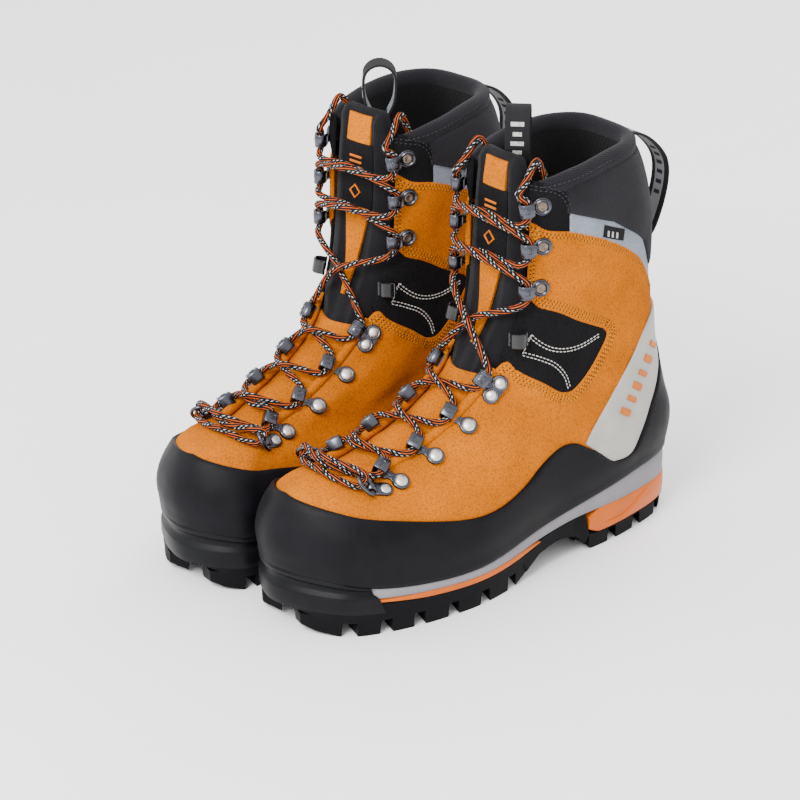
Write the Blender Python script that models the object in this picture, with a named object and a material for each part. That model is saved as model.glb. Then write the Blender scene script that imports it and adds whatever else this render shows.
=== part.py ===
"""A pair of mountaineering boots: two mirrored boots, each an assembly of separate pieces.

One boot is modelled in its own millimetre frame: x towards the outer side, y = 0 at the back of the
heel with the toe at about y = -305, z = 0 on the ground. The right boot is the left one mirrored.
The pair stands with the toes towards -Y, the left boot at +X, its origin at the bottom centre.
"""
import math

import bmesh
import bpy
import numpy as np
from mathutils import Matrix, Vector
from mathutils.geometry import delaunay_2d_cdt

# ---------------------------------------------------------------- driving dimensions (millimetres)
BOOT_SPACING = 129.0        # between the two heel centres
TOE_IN = 3.2                # degrees that each boot's toe turns towards the other boot
STAGGER = 6.0               # how far the right boot stands ahead of the left one
PAIR_SHIFT = 150.9          # centres the pair's box on the origin along Y
GAP = 0.3                   # clearance kept between touching pieces
LEATHER = (0.0, -2.2)       # outer and inner face of the leather, measured from the skin
STAY = (-3.05, -3.75)       # the hardware's backing stays under the leather
TONGUE = (-4.2, -7.0)       # these pairs too are offsets of the outer and inner face
TONGUE_STRIP = (TONGUE[0] + 1.5, TONGUE[0] + GAP)
COLLAR = (2.4, -3.4)
LINING = (-7.6, -9.0)
RAND = (2.6, 0.3)
STRAP = (1.6, 0.3)

# The last: sections from the feather line (t = 0) to the collar's top (t = 1). Each row holds
# t, y at the front and at the back, how far the toe curves inwards, then the heights at the eight
# stations and the half widths at the six inner stations, which lie at these fractions of the length.
STATIONS = (0.0, 0.06, 0.14, 0.35, 0.58, 0.82, 0.965, 1.0)
INWARD = (-10, -7, -4, 1, 2, 0, 0, 0)
INNER_TRIM = (0.8, 7.0, 5.0, 1.5, 0, 0)      # how much narrower the inner side is
SECTIONS = (
    (0.00, -301, -3, 1.0, (40, 36, 31, 26.5, 32, 41, 43, 44), (35, 46, 51, 39, 36, 22)),
    (0.10, -304, 0, 1.0, (56, 53, 50, 42, 47, 54, 56, 57), (36, 47.5, 52, 41, 38, 23)),
    (0.21, -299, 1, 1.0, (73, 70, 66, 55, 60, 67, 69, 70), (33, 44, 49, 40, 37, 22.5)),
    (0.31, -289, -3, 0.9, (85, 82, 77, 67, 73, 81, 83, 84), (27, 37, 45, 38, 34, 21)),
    (0.40, -264, -6, 0.8, (90, 88.5, 86, 81, 86, 92, 94, 95), (18, 28, 40, 36, 32.5, 20)),
    (0.49, -230, -10, 0.5, (98, 97, 96, 95, 99, 104, 106, 107), (17, 28, 37.5, 35, 31.5, 20)),
    (0.57, -197, -14, 0.3, (110, 110, 109, 110, 114, 119, 121, 122), (17.5, 27, 36, 35, 31.5, 20)),
    (0.65, -171, -18, 0.2, (128, 128, 127, 129, 132, 136, 138, 139), (19, 28, 36, 35.5, 32, 21)),
    (0.74, -152, -23, 0.0, (155, 155, 155, 155, 158, 160, 161, 161), (23, 31, 37, 37, 34, 22)),
    (0.84, -144, -29, 0.0, (190, 190, 190, 190, 191, 192, 192, 192), (26, 34, 38.5, 39, 36, 23)),
    (0.93, -142, -34, 0.0, (222, 222, 222, 223, 224, 225, 226, 226), (27, 34.5, 40, 40.5, 37, 24)),
    (1.00, -141, -42, 0.0, (246, 246, 247, 250, 254, 256, 257, 257), (26, 34, 40, 40, 35, 22)),
    (1.06, -138, -50, 0.0, (266, 266, 267, 271, 276, 278, 279, 279), (25, 33, 39, 38, 33, 21)),
)
ROWS = (0, .10, .20, .28, .35, .42, .51, .60, .69, .79, .90, 1.0, 1.05)
HALF_COLUMNS = (0, .5, 1.1, 1.8, 2.5, 3.3, 4.2, 5.1, 5.7, 6.35, 7)

# Panel outlines on the skin, as (station, t) from the throat (station 1.1) round to the heel (7).
THROAT = 1.1
THROAT_FOOT = 0.395
RAND_TOP = ((0, .295), (0.7, .275), (1.5, .26), (2.5, .25), (3.3, .235), (3.65, .265), (3.9, .32),
            (4.1, .34), (4.28, .32), (4.5, .24), (4.78, .125), (4.98, .12), (5.25, .225),
            (5.6, .33), (6.0, .47), (6.4, .56), (7, .60))
STRAP_FRONT = ((4.42, .285), (4.56, .39), (4.75, .515), (5.1, .61), (5.67, .665), (7, .70))
STRAP_REAR = ((7, .62), (6.38, .58), (5.95, .49), (5.54, .345), (5.2, .245), (4.94, .14), (4.8, .145))
QUARTER_TOP = ((1.1, .69), (1.6, .685), (2.7, .63), (3.65, .567))
BAND_FOOT = ((4.1, .695), (3.12, .75), (1.85, .79), (1.1, .81))
BAND_TOP = ((1.1, .945), (3.0, .913), (4.3, .865), (5.25, .80), (5.95, .73), (7, .705))
TRIM_TOP = ((2.25, .957), (3.1, .944), (4.08, .918), (5.25, .855), (5.8, .79), (7, .745))

# Places of the metal hardware, as (station, t).
D_RING_AT = (0.95, .365)
TUNNELS_AT = ((1.45, .432), (1.45, .505), (1.45, .578))
LOCK_AT = (1.45, .655)
CUFF_HOOKS_AT = ((1.55, .828), (1.5, .903), (1.45, .975))
KEEPER_AT = (1.75, .738)
RIVET_SHIFT = 0.45           # from an eyelet's lace line out to its rivet, in stations
CUFF_RIVET_SHIFT = 0.35
D_RING_RIVET_SHIFT = 0.75

# The hardware's sizes, in its own frame: x outwards from the rivet, y up the boot, z out of the leather.
HARDWARE_LIFT = 1.35         # the hardware's feet stand this far off the leather
RIVET_SIDES = 8
RIVET_RADIUS = 4.6
RIVET_HEIGHT = 3.4
SHANK_RADIUS = 1.6
SHANK_SIDES = 6
STAY_HALF = 2.4
TUNNEL_REACH = 14.0          # from a rivet's centre to its tunnel's centre
TUNNEL_SIZE = (8.0, 9.0, 8.6)
TUNNEL_BORE = 2.9
TUNNEL_MID = HARDWARE_LIFT + 4.8
PLATE_HALF = 2.9             # half the width of the plate between a rivet and its tunnel or barrel
HOOK_REACH = 12.0
HOOK_HEIGHT = 7.0
HOOK_WIDTH = 5.7
HOOK_THICKNESS = 1.3
BARREL_X = -8.5              # the clip's barrel, from the rivet
BARREL_Z = HARDWARE_LIFT + 2.7
BARREL_BORE = 1.75
D_RING_RADIUS = 1.25
D_RING_HALF = 7.0
D_RING_REACH = 11.0
D_RING_TILT = math.radians(35)
KEEPER_SIZE = (10.0, 8.0, 6.6)

# The lace: places in a hook's frame, in a D-ring's plane, then (station, t, offset) past the top hook.
LACE_RADIUS = 2.2
HOOK_ROUTE = ((-14.5, -9.5), (-9.0, -4.8), (-9.0, 4.8), (-14.5, 9.5))
LACE_IN_HOOK = HARDWARE_LIFT + 4.5
D_RING_ROUTE = ((6.2, 0, -4.4), (6.0, 0, 0), (6.4, .4, 7.4), (11.5, 4.5, 5.8))
LACE_OVER_TOE = 3.6          # height of the run between the two D-rings
CROSSING_LIFT = 8.0          # height over the tongue of the middle of a crossing
CROSSING_SPREAD = 2.6        # half the distance between the two strands of a crossing
TAIL = ((1.0, 1.02, 3.5), (1.3, 1.055, -3.5), (1.9, 1.03, -10), (2.5, .96, -11.8), (2.9, .89, -11.8))

# The webbing loops.
TONGUE_LOOP_AT = (0.0, -119.5, 252.0)
TONGUE_LOOP_HEIGHT = 38.0
TONGUE_LOOP_HALF = 10.0
TONGUE_LOOP_TURN = math.radians(-45)
LOOP_WIDTH = 15.0
LOOP_THICKNESS = 1.6

# The sole: lengths from the heel's back at which it has a section, and its heights at lengths.
WELT = 2.2                   # how far the midsole stands out from the upper
SOLE_SECTIONS = (-298, -294, -288, -280, -270, -255, -237, -217, -197, -177, -157, -137, -117, -97,
                 -77, -57, -37, -22, -13, -7, -3.5, -1.5)
TREAD_SECTIONS = (-298, -294, -288, -282, -270, -255, -237, -217, -197, -177, -160, -148, -135, -117,
                  -100, -93, -88, -75, -57, -37, -22, -13, -7, -3.5, -1.5)
SHANK_SECTIONS = (-168, -150, -128, -105, -80, -55)
BOARD_SECTIONS = (-290, -282, -270, -250, -225, -197, -165, -130, -95, -60, -35, -18, -9)
FOOTBED_SECTIONS = (-280, -272, -255, -225, -197, -165, -130, -95, -60, -35, -20)
FOREFOOT_INSERT = (-284, -276, -262, -245, -225, -205, -185, -165, -145, -134)
HEEL_INSERT = (-93, -80, -57, -37, -22, -11, -3)
MIDSOLE_FOOT_POINTS = ((-303, 26), (-283, 25), (-262, 24), (-230, 21.8), (-197, 20.5), (-165, 20.8),
                       (-128, 24), (-100, 26.5), (-57, 26), (3, 25))
SOLE_FOOT_POINTS = ((-303, 9), (-292, 2.5), (-282, 0), (-160, 0), (-148, 6), (-135, 13), (-117, 16),
                    (-100, 13), (-93, 2), (-88, 0), (-13, 0), (3, 5))
STRIPE = 3.3                 # thickness of the forefoot insert
INSERT_FOOT = 10.3           # top of the heel's tread
SHANK_HALF = 13.0            # half the stiffening plate's width
BOARD_HEIGHTS = (0.4, 2.2)   # the board's foot and top over the midsole
FOOTBED_HEIGHTS = (2.8, 7.5)
GROOVE = 5.0                 # width of the tread's grooves
GROOVE_DEPTH = 7.5
FOREFOOT_GROOVES = (-264, -244, -224, -204, -184, -164)
HEEL_GROOVES = (-70, -52, -34, -18)
MIDDLE_GROOVE = (-275, -150) # where the groove down the forefoot's middle starts and ends


# ---------------------------------------------------------------- the last's surface
def smooth(xs, ys, x):
    """Smooth curve through the rows ys at xs, read at x."""
    xs = np.asarray(xs, float)
    ys = np.asarray(ys, float)
    step = np.diff(xs)[:, None]
    slope = np.diff(ys, axis=0) / step
    tangent = np.zeros_like(ys)
    tangent[1:-1] = (slope[:-1] * step[1:] + slope[1:] * step[:-1]) / (step[:-1] + step[1:])
    tangent[0] = slope[0]
    tangent[-1] = slope[-1]
    i = int(np.clip(np.searchsorted(xs, x, side="right") - 1, 0, len(xs) - 2))
    h = xs[i + 1] - xs[i]
    u = (x - xs[i]) / h
    return ((2 * u**3 - 3 * u**2 + 1) * ys[i] + (u**3 - 2 * u**2 + u) * h * tangent[i]
            + (3 * u**2 - 2 * u**3) * ys[i + 1] + (u**3 - u**2) * h * tangent[i + 1])


def section_points(row):
    """The 14 points of one section: front, six on the outer side, back, six on the inner side."""
    _, front, back, k, height, half = row
    y = [front + (back - front) * f for f in STATIONS]
    outer = [(k * INWARD[i] + half[i - 1], y[i], height[i]) for i in range(1, 7)]
    inner = [(k * INWARD[i] + k**4 * INNER_TRIM[i - 1] - half[i - 1], y[i], height[i])
             for i in range(6, 0, -1)]
    return [(k * INWARD[0], y[0], height[0])] + outer + [(0, y[7], height[7])] + inner


SECTION_T = [row[0] for row in SECTIONS]
SECTION_POINTS = np.array([np.ravel(section_points(row)) for row in SECTIONS], float)


def skin_point(s, t):
    """A point of the last: s runs from 0 at the toe to 7 at the heel, and to -7 on the inner side."""
    points = smooth(SECTION_T, SECTION_POINTS, t).reshape(14, 3)
    s = s % 14.0
    i = int(math.floor(s)) % 14
    u = s - math.floor(s)
    p0, p1, p2, p3 = (points[(i + k) % 14] for k in (-1, 0, 1, 2))
    d1, d2, d3 = (max(np.linalg.norm(b - a), 1e-6) ** 0.5 for a, b in ((p0, p1), (p1, p2), (p2, p3)))
    m1 = d2 * ((p1 - p0) / d1 - (p2 - p0) / (d1 + d2) + (p2 - p1) / d2)
    m2 = d2 * ((p2 - p1) / d2 - (p3 - p1) / (d2 + d3) + (p3 - p2) / d3)
    return ((2 * u**3 - 3 * u**2 + 1) * p1 + (u**3 - 2 * u**2 + u) * m1
            + (3 * u**2 - 2 * u**3) * p2 + (u**3 - u**2) * m2)


def skin_frame(s, t):
    """Point, outward normal, and the directions along the section and up the last."""
    along = skin_point(s + 0.02, t) - skin_point(s - 0.02, t)
    up = skin_point(s, min(t + 0.004, 1.059)) - skin_point(s, t - 0.004)
    along /= np.linalg.norm(along)
    normal = np.cross(along, up)
    normal /= np.linalg.norm(normal)
    return skin_point(s, t), normal, along, np.cross(normal, along)


COLUMNS = [-s for s in HALF_COLUMNS[:0:-1]] + list(HALF_COLUMNS)
LATTICE = {(i, j): skin_frame(s, t)[:2] for i, s in enumerate(COLUMNS) for j, t in enumerate(ROWS)}


def raised(i, j, offset):
    """One corner of the lattice, moved out along its normal."""
    point, normal = LATTICE[i, j]
    return point + offset * normal


def faceted(s, t, offset):
    """The lattice's flat facets, moved out by an offset, so that layers never cross."""
    i = min(int(np.searchsorted(COLUMNS, s + 1e-9, side="right")) - 1, len(COLUMNS) - 2)
    j = min(int(np.searchsorted(ROWS, t + 1e-9, side="right")) - 1, len(ROWS) - 2)
    a = (s - COLUMNS[i]) / (COLUMNS[i + 1] - COLUMNS[i])
    b = (t - ROWS[j]) / (ROWS[j + 1] - ROWS[j])
    near, far = raised(i, j, offset), raised(i + 1, j + 1, offset)
    if a >= b:
        return near * (1 - a) + raised(i + 1, j, offset) * (a - b) + far * b
    return near * (1 - b) + raised(i, j + 1, offset) * (b - a) + far * a


# ---------------------------------------------------------------- building meshes
def mesh_from(points, faces, name="mesh"):
    """A triangulated mesh whose faces all point out."""
    mesh = bpy.data.meshes.new(name)
    mesh.from_pydata([tuple(p) for p in points], [], faces)
    mesh.validate()
    bm = bmesh.new()
    bm.from_mesh(mesh)
    bmesh.ops.triangulate(bm, faces=bm.faces)
    bmesh.ops.recalc_face_normals(bm, faces=bm.faces)
    bm.to_mesh(mesh)
    bm.free()
    return mesh


def bar_faces(count, corners):
    """Faces of a closed bar whose cross-sections, each of so many corners, follow one another."""
    faces = []
    for i in range(count - 1):
        a, b = corners * i, corners * (i + 1)
        faces += [(a + k, a + (k + 1) % corners, b + (k + 1) % corners, b + k) for k in range(corners)]
    last = corners * (count - 1)
    return faces + [tuple(reversed(range(corners))), tuple(last + k for k in range(corners))]


def inside(point, outline):
    """Whether a point lies in an outline, by counting crossings."""
    x, y = point
    crossings = False
    for (ax, ay), (bx, by) in zip(outline, outline[1:] + outline[:1]):
        if (ay > y) != (by > y) and x < (bx - ax) * (y - ay) / (by - ay) + ax:
            crossings = not crossings
    return crossings


def lattice_edges(outline):
    """The lattice's lines and diagonals around an outline, as segments."""
    low_s, high_s = min(p[0] for p in outline), max(p[0] for p in outline)
    low_t, high_t = min(p[1] for p in outline), max(p[1] for p in outline)
    cells = [(i, j) for i in range(len(COLUMNS) - 1) for j in range(len(ROWS) - 1)
             if COLUMNS[i + 1] > low_s - 1e-6 and COLUMNS[i] < high_s + 1e-6
             and ROWS[j + 1] > low_t - 1e-6 and ROWS[j] < high_t + 1e-6]
    segments = set()
    for i, j in cells:
        a, b, c, d = (i, j), (i + 1, j), (i + 1, j + 1), (i, j + 1)
        segments |= {(a, b), (d, c), (a, d), (b, c), (a, c)}
    return sorted(segments)


def sheet(outlines, layer):
    """A closed solid between two offsets of the skin, cut to outlines in (s, t)."""
    flat_all, kept = [], []
    for outline in outlines:
        corners, edges = {}, []

        def vertex(key, place):
            corners.setdefault(key, (len(corners), place))
            return corners[key][0]

        for ends in lattice_edges(outline):
            edges.append(tuple(vertex(k, (COLUMNS[k[0]], ROWS[k[1]])) for k in ends))
        ids = [vertex(("outline", round(s, 4), round(t, 4)), (s, t)) for s, t in outline]
        edges += list(zip(ids, ids[1:] + ids[:1]))
        places = [Vector(p) for _, p in sorted(corners.values())]
        flat, _, triangles, *_ = delaunay_2d_cdt(places, edges, [], 0, 1e-5)
        for triangle in triangles:
            centre = sum((flat[v] for v in triangle), Vector((0, 0))) / 3
            if inside(centre, list(outline)):
                kept.append([v + len(flat_all) for v in triangle])
        flat_all += list(flat)
    return thicken(flat_all, kept, layer)


def thicken(flat, triangles, layer):
    """Outer and inner faces joined by walls along every free edge."""
    ids, outer_points, inner_points, faces = {}, [], [], []
    for triangle in triangles:
        face = []
        for v in triangle:
            s, t = flat[v]
            key = (round(7.0 if abs(s + 7) < 1e-4 else s, 4), round(t, 5))
            if key not in ids:
                ids[key] = len(outer_points)
                outer_points.append(faceted(s, t, layer[0]))
                inner_points.append(faceted(s, t, layer[1]))
            face.append(ids[key])
        if len(set(face)) == 3:
            faces.append(face)
    count = len(outer_points)
    used = {}
    for face in faces:
        for a, b in zip(face, face[1:] + face[:1]):
            used[a, b] = used.get((a, b), 0) + 1
    walls = [(b, a, a + count, b + count) for a, b in used if (b, a) not in used]
    back = [tuple(v + count for v in reversed(face)) for face in faces]
    return mesh_from(outer_points + inner_points, [tuple(f) for f in faces] + back + walls)


def mirrored(points):
    """The same points on the inner side, in reverse order."""
    return [(-s, t) for s, t in reversed(points)]


def sweep(path, width, thickness, side):
    """A flat strip swept along a path of points; side is the direction of its width."""
    path = [Vector(p) for p in path]
    side = Vector(side).normalized()
    half = side * width / 2
    points = []
    for i, p in enumerate(path):
        along = (path[min(i + 1, len(path) - 1)] - path[max(i - 1, 0)]).normalized()
        out = along.cross(side).normalized() * thickness / 2
        points += [p + half + out, p - half + out, p - half - out, p + half - out]
    return mesh_from(points, bar_faces(len(path), 4))


def block(low, high, matrix=Matrix()):
    """A box between two corners, taken through a matrix."""
    bm = bmesh.new()
    bmesh.ops.create_cube(bm, size=1.0)
    size = Vector(high) - Vector(low)
    centre = (Vector(high) + Vector(low)) / 2
    bm.transform(matrix @ Matrix.Translation(centre) @ Matrix.Diagonal((*size, 1)))
    mesh = bpy.data.meshes.new("block")
    bm.to_mesh(mesh)
    bm.free()
    return mesh


def rod(start, end, radius, sides=RIVET_SIDES, end_radius=None):
    """A cylinder or cone between two points."""
    start, end = Vector(start), Vector(end)
    axis = end - start
    bm = bmesh.new()
    bmesh.ops.create_cone(bm, cap_ends=True, segments=sides, radius1=radius,
                          radius2=radius if end_radius is None else end_radius, depth=axis.length)
    turn = axis.to_track_quat("Z", "Y").to_matrix().to_4x4()
    bm.transform(Matrix.Translation((start + end) / 2) @ turn)
    mesh = bpy.data.meshes.new("rod")
    bm.to_mesh(mesh)
    bm.free()
    return mesh


def tube(points, radius, resolution=2, cyclic=False):
    """A round bar along a path: a bevelled curve made into a mesh."""
    curve = bpy.data.curves.new("tube", "CURVE")
    curve.dimensions = "3D"
    curve.bevel_depth = radius
    curve.bevel_resolution = resolution
    curve.use_fill_caps = True
    spline = curve.splines.new("POLY")
    spline.points.add(len(points) - 1)
    for target, p in zip(spline.points, points):
        target.co = (*p, 1.0)
    spline.use_cyclic_u = cyclic
    holder = bpy.data.objects.new("tube", curve)
    bpy.context.scene.collection.objects.link(holder)
    bpy.context.view_layer.update()
    mesh = bpy.data.meshes.new_from_object(holder.evaluated_get(bpy.context.evaluated_depsgraph_get()))
    bpy.data.objects.remove(holder)
    bm = bmesh.new()
    bm.from_mesh(mesh)
    bmesh.ops.remove_doubles(bm, verts=bm.verts, dist=1e-4)
    bmesh.ops.recalc_face_normals(bm, faces=bm.faces)
    bm.to_mesh(mesh)
    bm.free()
    return mesh


def combine(first, others, operation="UNION"):
    """First mesh joined with, or cut by, each of the others in turn."""
    for other in others:
        a = bpy.data.objects.new("a", first)
        b = bpy.data.objects.new("b", other)
        for holder in (a, b):
            bpy.context.scene.collection.objects.link(holder)
        modifier = a.modifiers.new("combine", "BOOLEAN")
        modifier.operation = operation
        modifier.object = b
        bpy.context.view_layer.update()
        first = bpy.data.meshes.new_from_object(a.evaluated_get(bpy.context.evaluated_depsgraph_get()))
        bpy.data.objects.remove(a)
        bpy.data.objects.remove(b)
    bm = bmesh.new()
    bm.from_mesh(first)
    bmesh.ops.remove_doubles(bm, verts=bm.verts, dist=1e-3)
    bmesh.ops.dissolve_degenerate(bm, edges=bm.edges, dist=1e-3)
    bmesh.ops.triangulate(bm, faces=bm.faces)
    bm.to_mesh(first)
    bm.free()
    return first


# ---------------------------------------------------------------- the upper
def side_of(outline, side):
    """An outline of the outer side, or its mirror image on the inner side."""
    return outline if side > 0 else mirrored(outline)


def both_sides(low, high):
    """Two outlines between a low and a high edge, which meet at the heel."""
    outline = list(low) + list(high)[::-1]
    return [outline, mirrored(outline)]


def rand():
    """The rubber rand round the whole foot."""
    top = list(RAND_TOP)
    return sheet([mirrored(top[1:]) + top + [(7, 0.0), (-7, 0.0)]], RAND)


def leather_upper(holes):
    """The suede: vamp, quarters and ankle band in one, with the throat left open."""
    foot = [(0.55, THROAT_FOOT + .006), (0.95, THROAT_FOOT + .02), (THROAT, THROAT_FOOT + .05)]
    half = foot + list(QUARTER_TOP) + list(BAND_FOOT) + list(BAND_TOP)
    outline = mirrored(half) + [(0.0, THROAT_FOOT)] + half + [(7, 0.0), (-7, 0.0)]
    return combine(sheet([outline], LEATHER), holes, "DIFFERENCE")


def flex_panel(side):
    """The black panel where the ankle bends."""
    foot = [(1.16, .698), (1.65, .693), (2.75, .639), (3.63, .580)]
    head = [(1.16, .802), (1.83, .782), (3.08, .742), (3.98, .695)]
    return sheet([side_of(foot + head[::-1], side)], LEATHER)


def facing(side, holes):
    """The cuff's front flap, which carries the top hook."""
    outline = [(1.12, .952), (1.9, .938), (2.1, .945), (2.15, .97), (2.0, .99), (1.6, 1.0), (1.12, 1.0)]
    return combine(sheet([side_of(outline, side)], LEATHER), holes, "DIFFERENCE")


def cuff_trim():
    """The grey band between the leather and the collar."""
    low = [(2.25, .932), (3.0, .919), (4.3, .871), (5.25, .806), (5.95, .736), (7, .711)]
    high = [(s, t - .003) for s, t in TRIM_TOP]
    return sheet(both_sides(low, high), LEATHER)


def collar():
    """The knit collar."""
    low = [(s, t + .003) for s, t in TRIM_TOP]
    high = [(2.25, 1.0), (7, 1.0)]
    return sheet(both_sides(low, high), COLLAR)


def heel_strap():
    """The grey strap round the heel, from the sole up to the ankle band."""
    return sheet(both_sides(list(reversed(STRAP_REAR)), STRAP_FRONT), STRAP)


def lining():
    """The inner boot's wall."""
    half = [(1.4, .365), (2.7, .42), (2.7, .95), (7, .95)]
    outline = mirrored(half) + half + [(7, .07), (-7, .07)]
    return sheet([outline], LINING)


def tongue():
    """The padded tongue, from the throat's foot to over the collar."""
    half = [(1.2, .455), (1.45, .48), (1.45, .72), (1.05, .82), (0.8, .94), (0.7, 1.045)]
    return sheet([mirrored(half) + half], TONGUE)


def tongue_strip():
    """The narrow leather strip down the middle of the tongue."""
    half = [(0.35, .70), (0.35, 1.03)]
    return sheet([mirrored(half) + half], TONGUE_STRIP)


# ---------------------------------------------------------------- metal hardware
def shifted(places, ds):
    """Places moved round the boot by so many stations."""
    return [(s + ds, t) for s, t in places]


EYELET_RIVETS = (shifted([D_RING_AT], D_RING_RIVET_SHIFT)
                 + shifted([*TUNNELS_AT, LOCK_AT], RIVET_SHIFT))
CUFF_RIVETS = shifted(CUFF_HOOKS_AT, CUFF_RIVET_SHIFT)


def seat(place, side):
    """A frame on the skin: x outwards across the boot, y up along it, z out of the leather."""
    s, t = place
    _, normal, along, up = skin_frame(side * s, t)
    matrix = Matrix((Vector(along * side), Vector(up), Vector(normal))).transposed().to_4x4()
    matrix.translation = Vector(faceted(side * s, t, 0.0))
    return matrix


def placed(mesh, matrix):
    """The mesh taken through a matrix that may mirror it, with its faces pointing out."""
    mesh.transform(matrix)
    bm = bmesh.new()
    bm.from_mesh(mesh)
    bmesh.ops.recalc_face_normals(bm, faces=bm.faces)
    bm.to_mesh(mesh)
    bm.free()
    return mesh


def rivet(matrix, radius=RIVET_RADIUS, height=RIVET_HEIGHT, top=0.45):
    """A shank through the leather with a domed head."""
    parts = [rod((0, 0, STAY[1] + .25), (0, 0, HARDWARE_LIFT + 1), SHANK_RADIUS, SHANK_SIDES),
             rod((0, 0, HARDWARE_LIFT), (0, 0, height), radius, RIVET_SIDES, radius * top)]
    return [placed(p, matrix) for p in parts]


def tunnel(matrix):
    """A lace tunnel: a plate from the rivet to a closed box over the throat's edge."""
    x, y, z = TUNNEL_SIZE
    base = HARDWARE_LIFT
    box = block((-TUNNEL_REACH - x / 2, -y / 2, base), (-TUNNEL_REACH + x / 2, y / 2, base + z))
    bore = rod((-TUNNEL_REACH, -y, TUNNEL_MID), (-TUNNEL_REACH, y, TUNNEL_MID), TUNNEL_BORE, 8)
    box = combine(box, [bore], "DIFFERENCE")
    plate = block((-TUNNEL_REACH + x / 2 - .6, -PLATE_HALF, base + .2), (.4, PLATE_HALF, base + 1.7))
    return [placed(p, matrix) for p in (plate, box)] + rivet(matrix)


def hook(matrix, reach=HOOK_REACH, height=HOOK_HEIGHT):
    """An open hook: a bent plate that rises from its rivet and turns back over the lace."""
    base = HARDWARE_LIFT + .9
    path = [(1.3, 0, base), (-reach * .8, 0, base), (-reach - 1.5, 0, base + height * .35),
            (-reach - 1.0, 0, base + height * .8), (-reach * .55, 0, base + height)]
    plate = sweep(path, HOOK_WIDTH, HOOK_THICKNESS, (0, 1, 0))
    return [placed(plate, matrix)] + rivet(matrix, RIVET_RADIUS + .6, 2.6, .7)


def stay(places, side):
    """The backing strip under the leather, through the hardware's places."""
    fine = [places[0]]
    for a, b in zip(places, places[1:]):
        fine += [(a[0] + (b[0] - a[0]) * f, a[1] + (b[1] - a[1]) * f) for f in (1 / 3, 2 / 3, 1)]
    fine = [(fine[0][0], fine[0][1] - .015)] + fine + [(fine[-1][0], min(fine[-1][1] + .015, 1.0))]
    middle = (STAY[0] + STAY[1]) / 2
    path = [faceted(side * s, t, middle) for s, t in fine]
    across = [skin_frame(side * s, t)[2] * side * STAY_HALF for s, t in fine]
    points = []
    for (s, t), p, x in zip(fine, path, across):
        thick = skin_frame(side * s, t)[1] * (STAY[0] - STAY[1]) / 2
        points += [p + x + thick, p - x + thick, p - x - thick, p + x - thick]
    return mesh_from(points, bar_faces(len(path), 4))


def d_ring_clip(matrix):
    """The folded clip whose barrel holds the D-ring."""
    base = HARDWARE_LIFT
    barrel = block((BARREL_X - 2.6, -3.5, base), (BARREL_X + 2.6, 3.5, base + 5.2))
    bore = rod((BARREL_X, -6, BARREL_Z), (BARREL_X, 6, BARREL_Z), BARREL_BORE, 8)
    plate = block((BARREL_X + 2.1, -PLATE_HALF, base + .2), (.4, PLATE_HALF, base + 1.7))
    parts = [combine(barrel, [bore], "DIFFERENCE"), plate]
    return [placed(p, matrix) for p in parts] + rivet(matrix)


def eyelet_row(side):
    """A stay with the D-ring's clip, three lace tunnels and the locking hook."""
    parts = d_ring_clip(seat(EYELET_RIVETS[0], side))
    for place in EYELET_RIVETS[1:4]:
        parts += tunnel(seat(place, side))
    parts += hook(seat(EYELET_RIVETS[4], side))
    return combine(stay(EYELET_RIVETS, side), parts)


def cuff_hook_row(side):
    """A stay with the cuff's three open hooks."""
    parts = [part for place in CUFF_RIVETS for part in hook(seat(place, side))]
    return combine(stay(CUFF_RIVETS, side), parts)


def rivet_holes():
    """Cutters for the shanks' holes through the leather."""
    return [placed(rod((0, 0, STAY[1] - 1), (0, 0, 3), SHANK_RADIUS + GAP, SHANK_SIDES), seat(place, side))
            for side in (1, -1) for place in (*EYELET_RIVETS, *CUFF_RIVETS)]


def on_d_ring(u, y, w=0.0):
    """A point in the tilted D-ring's own plane: u out from the barrel, w up out of the plane."""
    cos, sin = math.cos(D_RING_TILT), math.sin(D_RING_TILT)
    return Vector((BARREL_X - u * cos + w * sin, y, BARREL_Z + u * sin + w * cos))


def d_ring(side):
    """The D-ring, whose straight bar lies in the clip's barrel."""
    angles = np.linspace(0, math.pi, 7)
    bow = [on_d_ring(D_RING_REACH * math.sin(a), -D_RING_HALF * math.cos(a)) for a in angles]
    return placed(tube(bow, D_RING_RADIUS, 1, cyclic=True), seat(EYELET_RIVETS[0], side))


# ---------------------------------------------------------------- the sole
FEATHER = [skin_point(i * 0.05 - 7.0, 0.0) for i in range(281)]


def half_width(y, side):
    """The upper's half width at the feather line; the sole's heel stands out a little further."""
    y -= WELT * max(0.0, 1 + y / 60)
    edge = [(p[1], p[0]) for p in FEATHER if p[0] * side > (-10 * side if p[1] < -290 else 0)]
    edge.sort()
    return float(np.interp(y, [e[0] for e in edge], [e[1] for e in edge]))


def profile(points):
    """A height as a smooth function of the length."""
    ys = [p[0] for p in points]
    values = [[p[1]] for p in points]
    return lambda y: float(smooth(ys, values, min(max(y, ys[0]), ys[-1]))[0])


FEATHER_FACETS = sorted((float(p[1]), float(p[2])) for p in (faceted(c, 0, 0) for c in COLUMNS))


def midsole_top(y):
    """The midsole's top, just under the upper's lower edge."""
    return float(np.interp(y, *zip(*FEATHER_FACETS))) - 1.3


MIDSOLE_FOOT = profile(MIDSOLE_FOOT_POINTS)


def sole_foot(y):
    """The tread's underside: a little toe spring, and the arch between forefoot and heel."""
    return float(np.interp(y, *zip(*SOLE_FOOT_POINTS)))


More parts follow.
